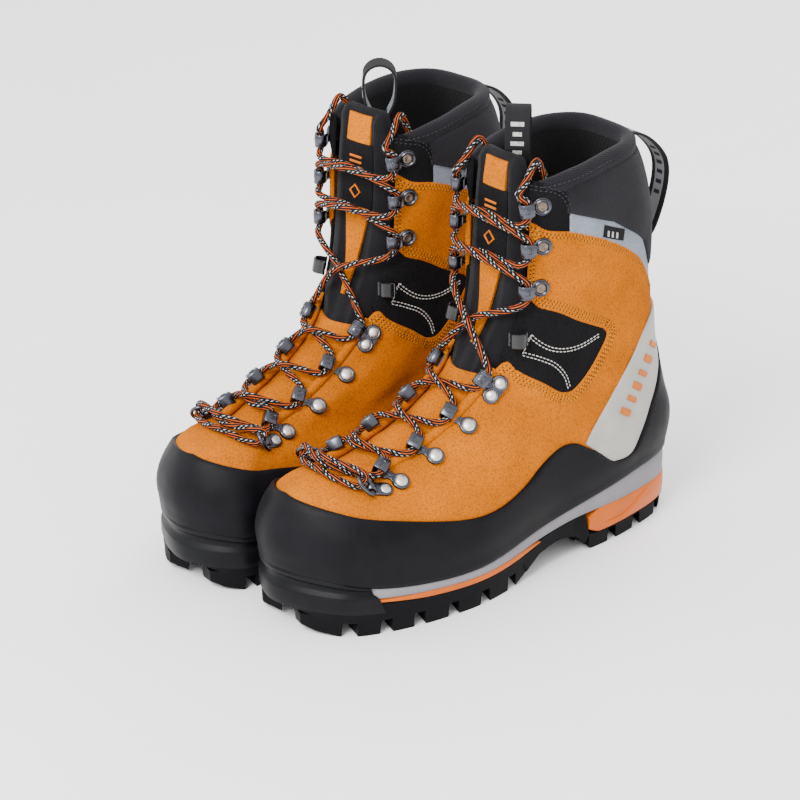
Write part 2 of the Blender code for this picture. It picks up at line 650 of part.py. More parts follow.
def slab(sections, low, high, inset, shoulders=0.0):
    """A solid between two height profiles, over the upper's outline moved in by an inset."""
    points = []
    for y in sections:
        left, right = half_width(y, -1) + inset, half_width(y, 1) - inset
        middle = (left + right) / 2
        slope = min(shoulders, 0.3 * (right - left))
        foot_left, foot_right = left + slope, right - slope
        points += [(left, y, high(y)), (middle, y, high(y)), (right, y, high(y)),
                   (foot_right, y, low(y)), (middle, y, low(y)), (foot_left, y, low(y))]
    return mesh_from(points, bar_faces(len(sections), 6))


def shank_slab(grow):
    """The stiffening plate in the midsole's top, or the pocket that it lies in."""
    rows = [SHANK_SECTIONS[0] - grow, *SHANK_SECTIONS[1:-1], SHANK_SECTIONS[-1] + grow]
    half = SHANK_HALF + grow
    points = []
    for y in rows:
        top = midsole_top(y) + (1.5 if grow else -0.5)
        foot = midsole_top(y) - 2.5 - grow
        points += [(-half, y, top), (half, y, top), (half, y, foot), (-half, y, foot)]
    return mesh_from(points, bar_faces(len(rows), 4))


def midsole():
    """The foam layer, with a pocket for the shank."""
    body = slab(SOLE_SECTIONS, MIDSOLE_FOOT, midsole_top, -WELT)
    return combine(body, [shank_slab(GAP)], "DIFFERENCE")


def forefoot_insert():
    """The thin coloured layer under the midsole's front."""
    return slab(FOREFOOT_INSERT, lambda y: MIDSOLE_FOOT(y) - GAP - STRIPE,
                lambda y: MIDSOLE_FOOT(y) - GAP, -WELT + .4)


def heel_insert():
    """The coloured wedge under the heel."""
    return slab(HEEL_INSERT, lambda y: INSERT_FOOT, lambda y: MIDSOLE_FOOT(y) - GAP, -WELT + 1.0, 1.5)


def outsole():
    """The rubber tread: one slab with pockets for the two inserts, cut into lugs."""
    body = slab(TREAD_SECTIONS, sole_foot, lambda y: MIDSOLE_FOOT(y) - GAP, -WELT + .8, 4.0)
    far = 80
    front = slab(FOREFOOT_INSERT, lambda y: MIDSOLE_FOOT(y) - 2 * GAP - STRIPE, lambda y: 60.0, -12)
    heel = block((-far, HEEL_INSERT[0] - GAP, INSERT_FOOT - GAP), (far, far, far))
    cuts = [front, heel]
    cuts += [block((-far, y - GROOVE / 2, -5), (far, y + GROOVE / 2, GROOVE_DEPTH))
             for y in (*FOREFOOT_GROOVES, *HEEL_GROOVES)]
    cuts += [block((-GROOVE / 2, MIDDLE_GROOVE[0], -5), (GROOVE / 2, MIDDLE_GROOVE[1], GROOVE_DEPTH - .5))]
    return combine(body, cuts, "DIFFERENCE")


def lasting_board():
    """The stiff board that the upper is lasted to."""
    foot, top = BOARD_HEIGHTS
    return slab(BOARD_SECTIONS, lambda y: midsole_top(y) + foot, lambda y: midsole_top(y) + top, 7.2)


def footbed():
    """The loose footbed."""
    foot, top = FOOTBED_HEIGHTS
    return slab(FOOTBED_SECTIONS, lambda y: midsole_top(y) + foot, lambda y: midsole_top(y) + top, 13)


# ---------------------------------------------------------------- webbing loops
def strip_loop(centre, direction, across, half, height):
    """A strip bent into an upside-down U whose feet come together."""
    centre, direction = Vector(centre), Vector(direction).normalized()
    arch = [(half * math.cos(a), height - half + half * math.sin(a)) for a in np.linspace(0, math.pi, 7)]
    flat = [(1.6, 0), (6.2, 6), (9.4, 14)] + arch + [(-9.4, 14), (-6.2, 6), (-1.6, 0)]
    path = [centre + direction * u + Vector((0, 0, 1)) * w for u, w in flat]
    return sweep(path, LOOP_WIDTH, LOOP_THICKNESS, across)


def tongue_loop():
    """The pull loop, with its two feet sewn together by a block of stitching."""
    turn = TONGUE_LOOP_TURN
    direction = Vector((math.cos(turn), math.sin(turn), 0))
    across = Vector((-math.sin(turn), math.cos(turn), 0))
    centre = Vector(TONGUE_LOOP_AT)
    loop = strip_loop(centre, direction, across, TONGUE_LOOP_HALF, TONGUE_LOOP_HEIGHT)
    corner = Matrix.Translation(centre) @ Matrix.Rotation(turn, 4, "Z")
    foot = block((-1.9, -LOOP_WIDTH / 2 + .4, -.8), (1.9, LOOP_WIDTH / 2 - .4, 3.2), corner)
    return combine(loop, [foot])


def rear_loop():
    """The pull loop at the heel: a strip that bows out from the collar and is sewn at both ends."""
    top, foot = faceted(7, .985, COLLAR[0] + GAP + .8), faceted(7, .80, COLLAR[0] + GAP + .9)
    bow = [(0, top[1], top[2]), (0, top[1] + 9, top[2] + 1.5), (0, top[1] + 24, top[2] - 7),
           (0, top[1] + 37, top[2] - 22), (0, top[1] + 38, top[2] - 38), (0, foot[1] + 14, foot[2] + 6),
           (0, foot[1] + 3, foot[2] - 2)]
    return sweep(bow, LOOP_WIDTH, LOOP_THICKNESS, (1, 0, 0))


def ankle_loop(side):
    """The small lace keeper on the flex panel: a bridge on two feet."""
    matrix = seat(KEEPER_AT, side)
    x, y, z = KEEPER_SIZE
    base = block((-x / 2, -y / 2, HARDWARE_LIFT), (x / 2, y / 2, HARDWARE_LIFT + z))
    bore = block((-3.4, -6, HARDWARE_LIFT + 1.2), (3.4, 6, HARDWARE_LIFT + 5.4))
    return placed(combine(base, [bore], "DIFFERENCE"), matrix)


# ---------------------------------------------------------------- the lace
def at(place, hand, x, y, z):
    """A point given in the frame of a piece of hardware."""
    return seat(place, hand) @ Vector((x, y, z))


def round_hook(place, hand):
    """The lace goes in behind the hook's bend and out again."""
    return [at(place, hand, x, y, LACE_IN_HOOK) for x, y in HOOK_ROUTE]


def over_skin(s, t, offset):
    """A point at a height over the last."""
    point, normal = skin_frame(s, t)[:2]
    return Vector(point + normal * offset)


def crossing(low, high, over):
    """A point over the tongue's middle where the two ends of the lace cross."""
    spread = CROSSING_SPREAD if over else -CROSSING_SPREAD
    return over_skin(0.0, (low[1] + high[1]) / 2 + .012, CROSSING_LIFT + spread)


def tail(hand):
    """From the top hook over the collar's edge and down inside the boot."""
    return [over_skin(hand * s, t, offset) for s, t, offset in TAIL]


def lace_half(hand, over):
    """One end of the lace, from its D-ring up through the hardware into the boot."""
    route = []
    low = EYELET_RIVETS[0]
    for i, place in enumerate((*EYELET_RIVETS[1:], *CUFF_RIVETS)):
        hand = -hand
        route.append(crossing(low, place, (i % 2 == 0) == over))
        if i < len(TUNNELS_AT):
            route += [at(place, hand, -TUNNEL_REACH, y, TUNNEL_MID) for y in (-8.0, 8.0)]
        else:
            route += round_hook(place, hand)
        low = place
    return route + tail(hand)


def d_ring_pass(hand):
    """The lace comes up through a D-ring from under it."""
    frame = seat(EYELET_RIVETS[0], hand)
    return [frame @ on_d_ring(*spot) for spot in D_RING_ROUTE]


def lace():
    """The lace: across both D-rings, then up through the hardware in a zigzag."""
    bar = [over_skin(s, D_RING_AT[1], LACE_OVER_TOE) for s in (-.5, 0, .5)]
    front = d_ring_pass(-1)[::-1] + bar + d_ring_pass(1)
    return tube(lace_half(-1, False)[::-1] + front + lace_half(1, True), LACE_RADIUS)


# ---------------------------------------------------------------- colours
COLOURS = {
    "orange_suede": ((.80, .33, .07), .85, 0), "black_suede": ((.025, .025, .027), .9, 0),
    "rubber": ((.018, .018, .02), .65, 0), "grey_foam": ((.33, .33, .35), .6, 0),
    "orange_rubber": ((.85, .25, .05), .5, 0), "grey_fabric": ((.42, .45, .50), .85, 0),
    "black_knit": ((.02, .02, .023), .95, 0), "grey_strap": ((.55, .55, .53), .6, 0),
    "steel": ((.20, .20, .22), .28, 1), "webbing": ((.02, .02, .022), .8, 0),
    "lining": ((.05, .05, .055), .95, 0), "board": ((.45, .36, .22), .9, 0),
    "footbed": ((.10, .10, .11), .9, 0), "nylon": ((.03, .03, .03), .4, 0),
    "lace": ((.10, .05, .03), .85, 0),
}


def material(name):
    """The named material, made once."""
    found = bpy.data.materials.get(name)
    if found:
        return found
    colour, roughness, metallic = COLOURS[name]
    made = bpy.data.materials.new(name)
    made.use_nodes = True
    shader = made.node_tree.nodes["Principled BSDF"]
    shader.inputs["Base Color"].default_value = (*colour, 1)
    shader.inputs["Roughness"].default_value = roughness
    shader.inputs["Metallic"].default_value = metallic
    return made


# ---------------------------------------------------------------- the pieces and their joints
def pieces():
    """Each piece of the left boot: its name, its colour and its mesh."""
    yield "outsole", "rubber", outsole()
    yield "midsole", "grey_foam", midsole()
    yield "forefoot_insert", "orange_rubber", forefoot_insert()
    yield "heel_insert", "orange_rubber", heel_insert()
    yield "shank", "nylon", shank_slab(0)
    yield "lasting_board", "board", lasting_board()
    yield "footbed", "footbed", footbed()
    yield "rand", "rubber", rand()
    yield "leather_upper", "orange_suede", leather_upper(rivet_holes())
    yield "cuff_trim", "grey_fabric", cuff_trim()
    yield "collar", "black_knit", collar()
    yield "heel_strap", "grey_strap", heel_strap()
    yield "lining", "lining", lining()
    yield "tongue", "black_suede", tongue()
    yield "tongue_strip", "orange_suede", tongue_strip()
    yield "tongue_loop", "webbing", tongue_loop()
    yield "rear_loop", "webbing", rear_loop()
    yield "lace", "lace", lace()
    for name, side in (("lateral", 1), ("medial", -1)):
        yield "flex_panel_" + name, "black_suede", flex_panel(side)
        yield "facing_" + name, "black_suede", facing(side, rivet_holes())
        yield "d_ring_" + name, "steel", d_ring(side)
        yield "eyelet_row_" + name, "steel", eyelet_row(side)
        yield "cuff_hook_row_" + name, "steel", cuff_hook_row(side)
        yield "ankle_loop_" + name, "nylon", ankle_loop(side)


TONGUE_HINGE = tuple(faceted(0, .455, -5.6))
FOOTBED_HINGE = (0, FOOTBED_SECTIONS[0], midsole_top(FOOTBED_SECTIONS[0]) + FOOTBED_HEIGHTS[0])


def boot_matrix(side):
    """From a boot's millimetre frame to the pair's frame in metres; the right boot is mirrored."""
    turn = Matrix.Rotation(math.radians(-side * TOE_IN), 4, "Z")
    place = Matrix.Translation((side * BOOT_SPACING / 2, side * STAGGER / 2 + PAIR_SHIFT, 0))
    return Matrix.Scale(0.001, 4) @ place @ turn @ Matrix.Diagonal((side, 1, 1, 1))


def joint_origin(name, matrix):
    """Where a moving piece turns, in the pair's frame."""
    local = {"tongue": TONGUE_HINGE, "tongue_strip": TONGUE_HINGE, "tongue_loop": TONGUE_LOOP_AT,
             "footbed": FOOTBED_HINGE}
    if name.startswith("d_ring"):
        side = 1 if name.endswith("lateral") else -1
        local[name] = seat(EYELET_RIVETS[0], side) @ Vector((BARREL_X, 0, BARREL_Z))
    return matrix @ Vector(local.get(name, (0, 0, 0)))


def add_piece(name, colour, mesh, side, collection):
    """One piece of one boot as an object with its origin on its joint."""
    matrix = boot_matrix(side)
    own = placed(mesh.copy(), matrix)
    origin = joint_origin(name, matrix)
    own.transform(Matrix.Translation(-origin))
    own.materials.clear()
    own.materials.append(material(colour))
    own.name = name
    made = bpy.data.objects.new(name + ("_left" if side > 0 else "_right"), own)
    made.location = origin
    collection.objects.link(made)


def main():
    """Build both boots in a fresh scene."""
    for old in list(bpy.data.objects):
        bpy.data.objects.remove(old)
    collection = bpy.data.collections.new("mountaineering_boots")
    bpy.context.scene.collection.children.link(collection)
    for name, colour, mesh in pieces():
        for side in (1, -1):
            add_piece(name, colour, mesh, side, collection)


main()
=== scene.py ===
# Looks of a pair of mountaineering boots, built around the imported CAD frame.
#
# Each piece is made once in the left boot's own millimetre frame, as in part.py: x towards the outer
# side, y = 0 at the back of the heel with the toe at about y = -305, and z = 0 on the ground. It is
# then placed twice, and mirrored for the right boot. Places on the upper are (station, t), where the
# station runs from 0 at the toe to 7 at the heel on the outer side, and to -7 on the inner side.
import math

import bmesh
import bpy
import numpy as np
from mathutils import Matrix, Vector
from mathutils.geometry import delaunay_2d_cdt
from mathutils.kdtree import KDTree


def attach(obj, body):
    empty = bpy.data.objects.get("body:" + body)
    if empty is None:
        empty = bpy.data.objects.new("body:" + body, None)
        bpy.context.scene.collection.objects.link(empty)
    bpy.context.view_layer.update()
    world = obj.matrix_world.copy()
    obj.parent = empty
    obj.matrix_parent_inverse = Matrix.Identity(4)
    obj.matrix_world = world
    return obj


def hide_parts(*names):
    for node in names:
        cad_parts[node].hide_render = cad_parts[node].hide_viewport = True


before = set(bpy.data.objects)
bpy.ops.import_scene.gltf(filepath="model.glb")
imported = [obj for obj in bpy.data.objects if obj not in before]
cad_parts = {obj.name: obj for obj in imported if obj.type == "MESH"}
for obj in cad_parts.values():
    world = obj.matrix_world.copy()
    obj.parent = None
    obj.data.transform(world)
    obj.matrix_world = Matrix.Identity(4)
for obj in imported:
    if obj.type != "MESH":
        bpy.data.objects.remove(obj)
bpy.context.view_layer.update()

# ---------------------------------------------------------------- the pair, as in part.py (mm)
BOOT_SPACING = 129.0
TOE_IN = 3.2
STAGGER = 6.0
PAIR_SHIFT = 150.9
WELT = 2.2
STATIONS = (0.0, 0.06, 0.14, 0.35, 0.58, 0.82, 0.965, 1.0)
INWARD = (-10, -7, -4, 1, 2, 0, 0, 0)
INNER_TRIM = (0.8, 7.0, 5.0, 1.5, 0, 0)
SECTIONS = (
    (0.00, -301, -3, 1.0, (40, 36, 31, 26.5, 32, 41, 43, 44), (35, 46, 51, 39, 36, 22)),
    (0.10, -304, 0, 1.0, (56, 53, 50, 42, 47, 54, 56, 57), (36, 47.5, 52, 41, 38, 23)),
    (0.21, -299, 1, 1.0, (73, 70, 66, 55, 60, 67, 69, 70), (33, 44, 49, 40, 37, 22.5)),
    (0.31, -289, -3, 0.9, (85, 82, 77, 67, 73, 81, 83, 84), (27, 37, 45, 38, 34, 21)),
    (0.40, -264, -6, 0.8, (90, 88.5, 86, 81, 86, 92, 94, 95), (18, 28, 40, 36, 32.5, 20)),
    (0.49, -230, -10, 0.5, (98, 97, 96, 95, 99, 104, 106, 107), (17, 28, 37.5, 35, 31.5, 20)),
    (0.57, -197, -14, 0.3, (110, 110, 109, 110, 114, 119, 121, 122), (17.5, 27, 36, 35, 31.5, 20)),
    (0.65, -171, -18, 0.2, (128, 128, 127, 129, 132, 136, 138, 139), (19, 28, 36, 35.5, 32, 21)),
    (0.74, -152, -23, 0.0, (155, 155, 155, 155, 158, 160, 161, 161), (23, 31, 37, 37, 34, 22)),
    (0.84, -144, -29, 0.0, (190, 190, 190, 190, 191, 192, 192, 192), (26, 34, 38.5, 39, 36, 23)),
    (0.93, -142, -34, 0.0, (222, 222, 222, 223, 224, 225, 226, 226), (27, 34.5, 40, 40.5, 37, 24)),
    (1.00, -141, -42, 0.0, (246, 246, 247, 250, 254, 256, 257, 257), (26, 34, 40, 40, 35, 22)),
    (1.06, -138, -50, 0.0, (266, 266, 267, 271, 276, 278, 279, 279), (25, 33, 39, 38, 33, 21)),
)
D_RING_AT = (0.95, .365)
TUNNELS_AT = ((1.45, .432), (1.45, .505), (1.45, .578))
LOCK_AT = (1.45, .655)
CUFF_HOOKS_AT = ((1.55, .828), (1.5, .903), (1.45, .975))
EYELET_SHIFT, CUFF_SHIFT, D_RING_SHIFT = 0.45, 0.35, 0.75


# ---------------------------------------------------------------- small vector helpers
def unit(vectors):
    """Vectors scaled to a length of one."""
    return vectors / np.maximum(np.linalg.norm(vectors, axis=-1, keepdims=True), 1e-9)


def hermite(u, a, b, slope_a, slope_b):
    """The cubic from a to b with these slopes at its ends."""
    return ((2 * u**3 - 3 * u**2 + 1) * a + (u**3 - 2 * u**2 + u) * slope_a
            + (3 * u**2 - 2 * u**3) * b + (u**3 - u**2) * slope_b)


def cubic(u, p0, p1, p2, p3):
    """A centripetal curve from p1 to p2."""
    def gap(a, b):
        return np.maximum(np.linalg.norm(b - a, axis=-1, keepdims=True), 1e-6) ** 0.5
    d1, d2, d3 = gap(p0, p1), gap(p1, p2), gap(p2, p3)
    slope1 = d2 * ((p1 - p0) / d1 - (p2 - p0) / (d1 + d2) + (p2 - p1) / d2)
    slope2 = d2 * ((p2 - p1) / d2 - (p3 - p1) / (d2 + d3) + (p3 - p2) / d3)
    return hermite(u, p1, p2, slope1, slope2)


def curve_through(points, per=8, closed=False):
    """A smooth curve through points of any dimension, with so many steps between two of them."""
    points = np.asarray(points, float)
    if closed:
        fence = np.vstack([points[-1:], points, points[:2]])
    else:
        fence = np.vstack([2 * points[:1] - points[1:2], points, 2 * points[-1:] - points[-2:-1]])
    u = np.arange(per)[:, None] / per
    parts = [cubic(u, *fence[i:i + 4]) for i in range(len(fence) - 3)]
    return np.vstack(parts if closed else parts + [points[-1:]])


def lengths(points):
    """Running length along a path."""
    return np.concatenate([[0], np.cumsum(np.linalg.norm(np.diff(points, axis=0), axis=1))])


def at_length(points, total, place):
    """A path's points at one or more running lengths."""
    return np.stack([np.interp(place, total, points[:, k]) for k in range(points.shape[1])], -1)


def even_lengths(total, step):
    """Running lengths in even steps along a path."""
    return np.linspace(0, total[-1], max(2, round(total[-1] / step) + 1))


def even(points, step):
    """A path again, in even steps."""
    total = lengths(points)
    return at_length(points, total, even_lengths(total, step))


def anticlockwise(outline):
    """The outline, turned round if it runs clockwise."""
    x, y = outline[:, 0], outline[:, 1]
    return outline[::-1] if np.sum(x * np.roll(y, -1) - y * np.roll(x, -1)) < 0 else outline


# ---------------------------------------------------------------- the last's surface
def section_points(row):
    """The 14 points of one section of the last, from the toe round the outer side and back."""
    _, front, back, k, height, half = row
    y = [front + (back - front) * f for f in STATIONS]
    outer = [(k * INWARD[i] + half[i - 1], y[i], height[i]) for i in range(1, 7)]
    inner = [(k * INWARD[i] + k**4 * INNER_TRIM[i - 1] - half[i - 1], y[i], height[i])
             for i in range(6, 0, -1)]
    return [(k * INWARD[0], y[0], height[0])] + outer + [(0, y[7], height[7])] + inner


SECTION_T = np.array([row[0] for row in SECTIONS])
SECTION_POINTS = np.array([np.ravel(section_points(row)) for row in SECTIONS], float)
STEP_T = np.diff(SECTION_T)[:, None]
SLOPE_T = np.diff(SECTION_POINTS, axis=0) / STEP_T
TANGENT_T = np.vstack([SLOPE_T[:1], (SLOPE_T[:-1] * STEP_T[1:] + SLOPE_T[1:] * STEP_T[:-1])
                       / (STEP_T[:-1] + STEP_T[1:]), SLOPE_T[-1:]])


def skin(s, t):
    """Points of the last at stations s and heights t."""
    s, t = np.broadcast_arrays(np.atleast_1d(np.asarray(s, float)), np.atleast_1d(np.asarray(t, float)))
    i = np.clip(np.searchsorted(SECTION_T, t, side="right") - 1, 0, len(SECTION_T) - 2)
    h = (SECTION_T[i + 1] - SECTION_T[i])[:, None]
    u = (t - SECTION_T[i])[:, None] / h
    rows = hermite(u, SECTION_POINTS[i], SECTION_POINTS[i + 1], h * TANGENT_T[i], h * TANGENT_T[i + 1])
    rows = rows.reshape(-1, 14, 3)
    s = s % 14.0
    first = np.floor(s).astype(int) % 14
    each = np.arange(len(s))
    return cubic((s - np.floor(s))[:, None], *(rows[each, (first + k) % 14] for k in (-1, 0, 1, 2)))


def partials(s, t):
    """How far the last's point moves for a step of one station and of one in t."""
    t = np.asarray(t, float)
    return (skin(s + .02, t) - skin(s - .02, t)) / .04, (skin(s, t + .004) - skin(s, t - .004)) / .008


def skin_frame(s, t):
    """Point, outward normal, and directions along the section and up the last."""
    s, t = np.broadcast_arrays(np.atleast_1d(np.asarray(s, float)), np.atleast_1d(np.asarray(t, float)))
    along, up = partials(s, t)
    along = unit(along)
    normal = unit(np.cross(along, up))
    return skin(s, t), normal, along, np.cross(normal, along)


def shell(s, t, offset):
    """The last's surface moved out by an offset."""
    point, normal, _, _ = skin_frame(s, t)
    return point + normal * np.reshape(offset, (-1, 1))


# ---------------------------------------------------------------- shapes
class Shape:
    """Points, faces and one texture place for each point; twins at a seam are welded later."""

    def __init__(self, points, faces, uv=None):
        self.points = np.asarray(points, float).reshape(-1, 3)
        self.faces = [tuple(int(v) for v in face) for face in faces]
        self.uv = np.zeros((len(self.points), 2)) if uv is None else np.asarray(uv, float)

    def moved(self, matrix):
        """Taken through a 4 by 4 matrix, which may mirror it."""
        matrix = np.array(matrix)
        faces = self.faces
        if np.linalg.det(matrix[:3, :3]) < 0:
            faces = [face[::-1] for face in faces]
        return Shape(self.points @ matrix[:3, :3].T + matrix[:3, 3], faces, self.uv)


def joined(shapes):
    """Several shapes as one."""
    points, faces, uv, count = [], [], [], 0
    for shape in shapes:
        points.append(shape.points)
        uv.append(shape.uv)
        faces += [tuple(v + count for v in face) for face in shape.faces]
        count += len(shape.points)
    return Shape(np.vstack(points), faces, np.vstack(uv))


def grid_faces(rows, columns, closed=False):
    """Quads of a grid; closed joins the last row to the first."""
    return [(i * columns + j, (i + 1) % rows * columns + j, (i + 1) % rows * columns + j + 1,
             i * columns + j + 1) for i in range(rows if closed else rows - 1) for j in range(columns - 1)]


def loft(rings, uv_across=None, closed=False):
    """A solid through closed rings of points, given without their repeated first point."""
    rings = np.asarray(rings, float)
    rings = np.concatenate([rings, rings[:, :1]], axis=1)
    rows, columns = rings.shape[:2]
    around = np.concatenate([[0], np.cumsum(np.linalg.norm(np.diff(rings.mean(0), axis=0), axis=1))])
    if uv_across is not None:
        around = np.append(uv_across, uv_across[0])
    along = lengths(rings.mean(1))
    uv = np.stack(np.broadcast_arrays(around[None, :], along[:, None]), -1).reshape(-1, 2)
    faces = grid_faces(rows, columns, closed)
    if not closed:
        last = (rows - 1) * columns
        faces += [tuple(range(columns - 1)), tuple(range(last, last + columns - 1))[::-1]]
    return Shape(rings.reshape(-1, 3), faces, uv)


def along_path(path, closed=False):
    """Unit tangents of a path."""
    if closed:
        return unit(np.roll(path, -1, 0) - np.roll(path, 1, 0))
    return unit(np.gradient(path, axis=0))


def pipe(path, radius, sides=12, closed=False, squeeze=1.0):
    """A round bar along a path, with turns in u and millimetres in v."""
    path = np.asarray(path, float)
    tangents = along_path(path, closed)
    normal = unit(np.cross(tangents[0], (0.3, 0.2, 0.93)))
    normals = []
    for tangent in tangents:
        normal = unit(normal - tangent * normal.dot(tangent))
        normals.append(normal)
    normals = np.array(normals)
    angles = np.linspace(0, 2 * math.pi, sides, endpoint=False)[::-1]
    radius = np.broadcast_to(radius, len(path))[:, None, None]
    side = np.cross(tangents, normals)
    rings = path[:, None] + radius * (np.cos(angles)[None, :, None] * normals[:, None]
                                      + squeeze * np.sin(angles)[None, :, None] * side[:, None])
    shape = loft(rings, closed=closed)
    shape.uv[:, 0] = np.tile(np.linspace(0, 1, sides + 1), len(path))
    shape.uv[:, 1] = np.repeat(lengths(path), sides + 1)
    return shape


def strip(path, across, width, thickness, soft=0.3):
    """A flat band along a path, with softened edges; u runs over its width, from 0 to 1 on its face."""
    path = np.asarray(path, float)
    across = unit(np.broadcast_to(np.asarray(across, float), path.shape))
    out = unit(np.cross(across, along_path(path)))
    w, h = np.broadcast_to(width, len(path)) / 2, np.broadcast_to(thickness, len(path)) / 2
    e = np.minimum(soft, np.minimum(w, h) * .9)
    corners = ((-1, -1, 0, 1), (-1, -1, 1, 0), (1, -1, 1, 0), (1, -1, 0, 1), (1, 1, 0, 1), (1, 1, 1, 0),
               (-1, 1, 1, 0), (-1, 1, 0, 1))
    ring = [path + across * (sx * (w - e * ex))[:, None] + out * (sy * (h - e * ey))[:, None]
            for sx, sy, ex, ey in corners]
    shape = loft(np.stack(ring, 1))
    shape.uv[:, 0] = np.tile([0, .04, .96, 1, 1, .96, .04, 0, 0], len(path))
    shape.uv[:, 1] = np.repeat(lengths(path), 9)
    return shape


def lathe(profile, sides=20):
    """A solid of revolution about z through (radius, z) points, from its foot's centre to its top's."""
    angles = np.linspace(0, 2 * math.pi, sides, endpoint=False)
    rings = [[(r * math.cos(a), r * math.sin(a), z) for a in angles] for r, z in profile]
    return loft(rings)


def plate(outline, low, high, soft=0.25):
    """A flat plate over an outline of (x, y) points, with its top edge softened."""
    outline = anticlockwise(np.asarray(outline, float))
    tangents = along_path(outline, closed=True)
    inward = np.stack([-tangents[:, 1], tangents[:, 0]], 1)
    levels = ((0, low), (0, high - soft), (soft * .35, high - soft * .3), (soft, high))
    rings = [np.column_stack([outline + inward * inset, np.full(len(outline), z)]) for inset, z in levels]
    return loft(rings)


def arc(centre, radius, start, end, steps=8):
    """Points of an arc in a plane, with its angles in degrees."""
    angles = np.radians(np.linspace(start, end, steps))
    return np.stack([centre[0] + radius * np.cos(angles), centre[1] + radius * np.sin(angles)], 1)


def box_ring(width, height, corner, steps=4):
    """A rounded rectangle about the origin."""
    w, h = width / 2 - corner, height / 2 - corner
    return np.vstack([arc((w, h), corner, 0, 90, steps), arc((-w, h), corner, 90, 180, steps),
                      arc((-w, -h), corner, 180, 270, steps), arc((w, -h), corner, 270, 360, steps)])


# ---------------------------------------------------------------- panels on the last
CHART = np.array([40.0, 250.0])      # rough millimetres for one station and for one in t
BACK_SEAM = 6.999                    # past this station a place is on the seam down the heel


def run(*points, step=2.2):
    """A smooth stretch of outline through a few places, in even steps on the last."""
    places = np.array(points, float)
    dense = curve_through(places * CHART, 12) / CHART
    if len(places) == 2:
        dense = places[:1] + (places[1:] - places[:1]) * np.linspace(0, 1, 60)[:, None]
    track = np.column_stack([skin(dense[:, 0], dense[:, 1]), dense])
    total = lengths(track[:, :3])
    return at_length(dense, total, even_lengths(total, step))


def outline_of(*runs):
    """A closed outline from stretches that share their ends."""
    return np.vstack([part[:-1] for part in runs])


def mirror(places):
    """The same places on the inner side, in reverse order."""
    return (np.asarray(places, float) * (-1, 1))[::-1]


def inside(places, outline):
    """Which places lie in an outline, by counting crossings."""
    x, y = places[:, :1], places[:, 1:]
    ax, ay = outline[:, 0], outline[:, 1]
    bx, by = np.roll(ax, -1), np.roll(ay, -1)
    rise = np.where(by == ay, 1e-12, by - ay)
    crosses = ((ay > y) != (by > y)) & (x < (bx - ax) * (y - ay) / rise + ax)
    return crosses.sum(1) % 2 == 1


def nearest(points, samples):
    """Distance of each point to the nearest sample."""
    tree = KDTree(len(samples))
    for i, p in enumerate(samples):
        tree.insert(p, i)
    tree.balance()
    return np.array([tree.find(p)[2] for p in points])


def sideways(track, distance, closed=False):
    """Places moved on the last to the left of their direction, which is inwards for an outline."""
    s, t = track.T
    point, normal, _, _ = skin_frame(s, t)
    left = np.cross(normal, along_path(point, closed))
    across, upward = partials(s, t)
    a, b, d = (across**2).sum(1), (across * upward).sum(1), (upward**2).sum(1)
    p, q = (left * across).sum(1), (left * upward).sum(1)
    step = np.stack([d * p - b * q, a * q - b * p], 1) / (a * d - b * b)[:, None]
    return track + step * distance


def field(outline, step):
    """Places over an outline's box, about one step apart on the last."""
    low, high = outline.min(0), outline.max(0)
    stations = np.linspace(low[0], high[0], int((high[0] - low[0]) / .05) + 3)
    t, odd, rows = low[1], False, []
    while t < high[1]:
        total = lengths(skin(stations, t))
        spots = np.arange(step * (.75 if odd else .25), total[-1], step)
        rows.append(np.stack([np.interp(spots, total, stations), np.full(len(spots), t)], 1))
        climb = np.linalg.norm(partials(stations[::8], np.full(len(stations[::8]), t))[1], axis=1)
        t += step * .87 / np.median(climb)
        odd = not odd
    return np.vstack(rows)


def drop(distance, edge):
    """How far a rim rounded over an edge's width lies below the face."""
    inner = np.clip(distance, 0, edge)
    return edge - np.sqrt(np.maximum(edge**2 - (edge - inner)**2, 0))


def panel(outline, top, back, edge=0.9, step=3.2, swell=None):
    """A closed piece on the last between two offsets, cut to an outline, with a rounded rim."""
    outline = anticlockwise(outline)
    at_seam = np.abs(outline[:, 0]) > BACK_SEAM
    at_seam &= np.roll(at_seam, 1) & np.roll(at_seam, -1)
    rim = shell(outline[~at_seam, 0], outline[~at_seam, 1], 0)
    rings = []
    for depth in (edge * .3, edge):
        ring = sideways(outline, depth, closed=True)[~at_seam]
        clear = nearest(skin(ring[:, 0], ring[:, 1]), rim) > depth * .85
        rings.append(ring[clear & (np.abs(ring[:, 0]) < 7) | (outline[~at_seam, 0] > 7) & clear])
    spots = field(outline, step)
    spots = spots[inside(spots, outline)]
    clear = nearest(skin(spots[:, 0], spots[:, 1]), skin(outline[:, 0], outline[:, 1]))
    spots = spots[clear > max(edge * 1.5, step * .55)]
    places = np.vstack([outline, *rings, spots]) * CHART
    flat, _, triangles, *_ = delaunay_2d_cdt([Vector(p) for p in places], [],
                                             [list(range(len(outline)))], 1, 1e-5)
    flat = np.array(flat) / CHART
    distance = nearest(skin(flat[:, 0], flat[:, 1]), rim)
    height = top - drop(distance, edge)
    if swell is not None:
        height = height + swell(flat, distance)
    count = len(flat)
    s, t = flat.T
    points = np.vstack([shell(s, t, height), shell(s, t, np.full(count, float(back)))])
    used = {(a, b) for tri in triangles for a, b in zip(tri, tri[1:] + tri[:1])}
    seam = np.abs(s) > BACK_SEAM
    walls = [(b, a, a + count, b + count) for a, b in used
             if (b, a) not in used and not (seam[a] and seam[b])]
    faces = [tuple(tri) for tri in triangles]
    faces += [tuple(v + count for v in reversed(tri)) for tri in triangles]
    return Shape(points, faces + walls, np.tile(cloth_places(flat), (2, 1)))


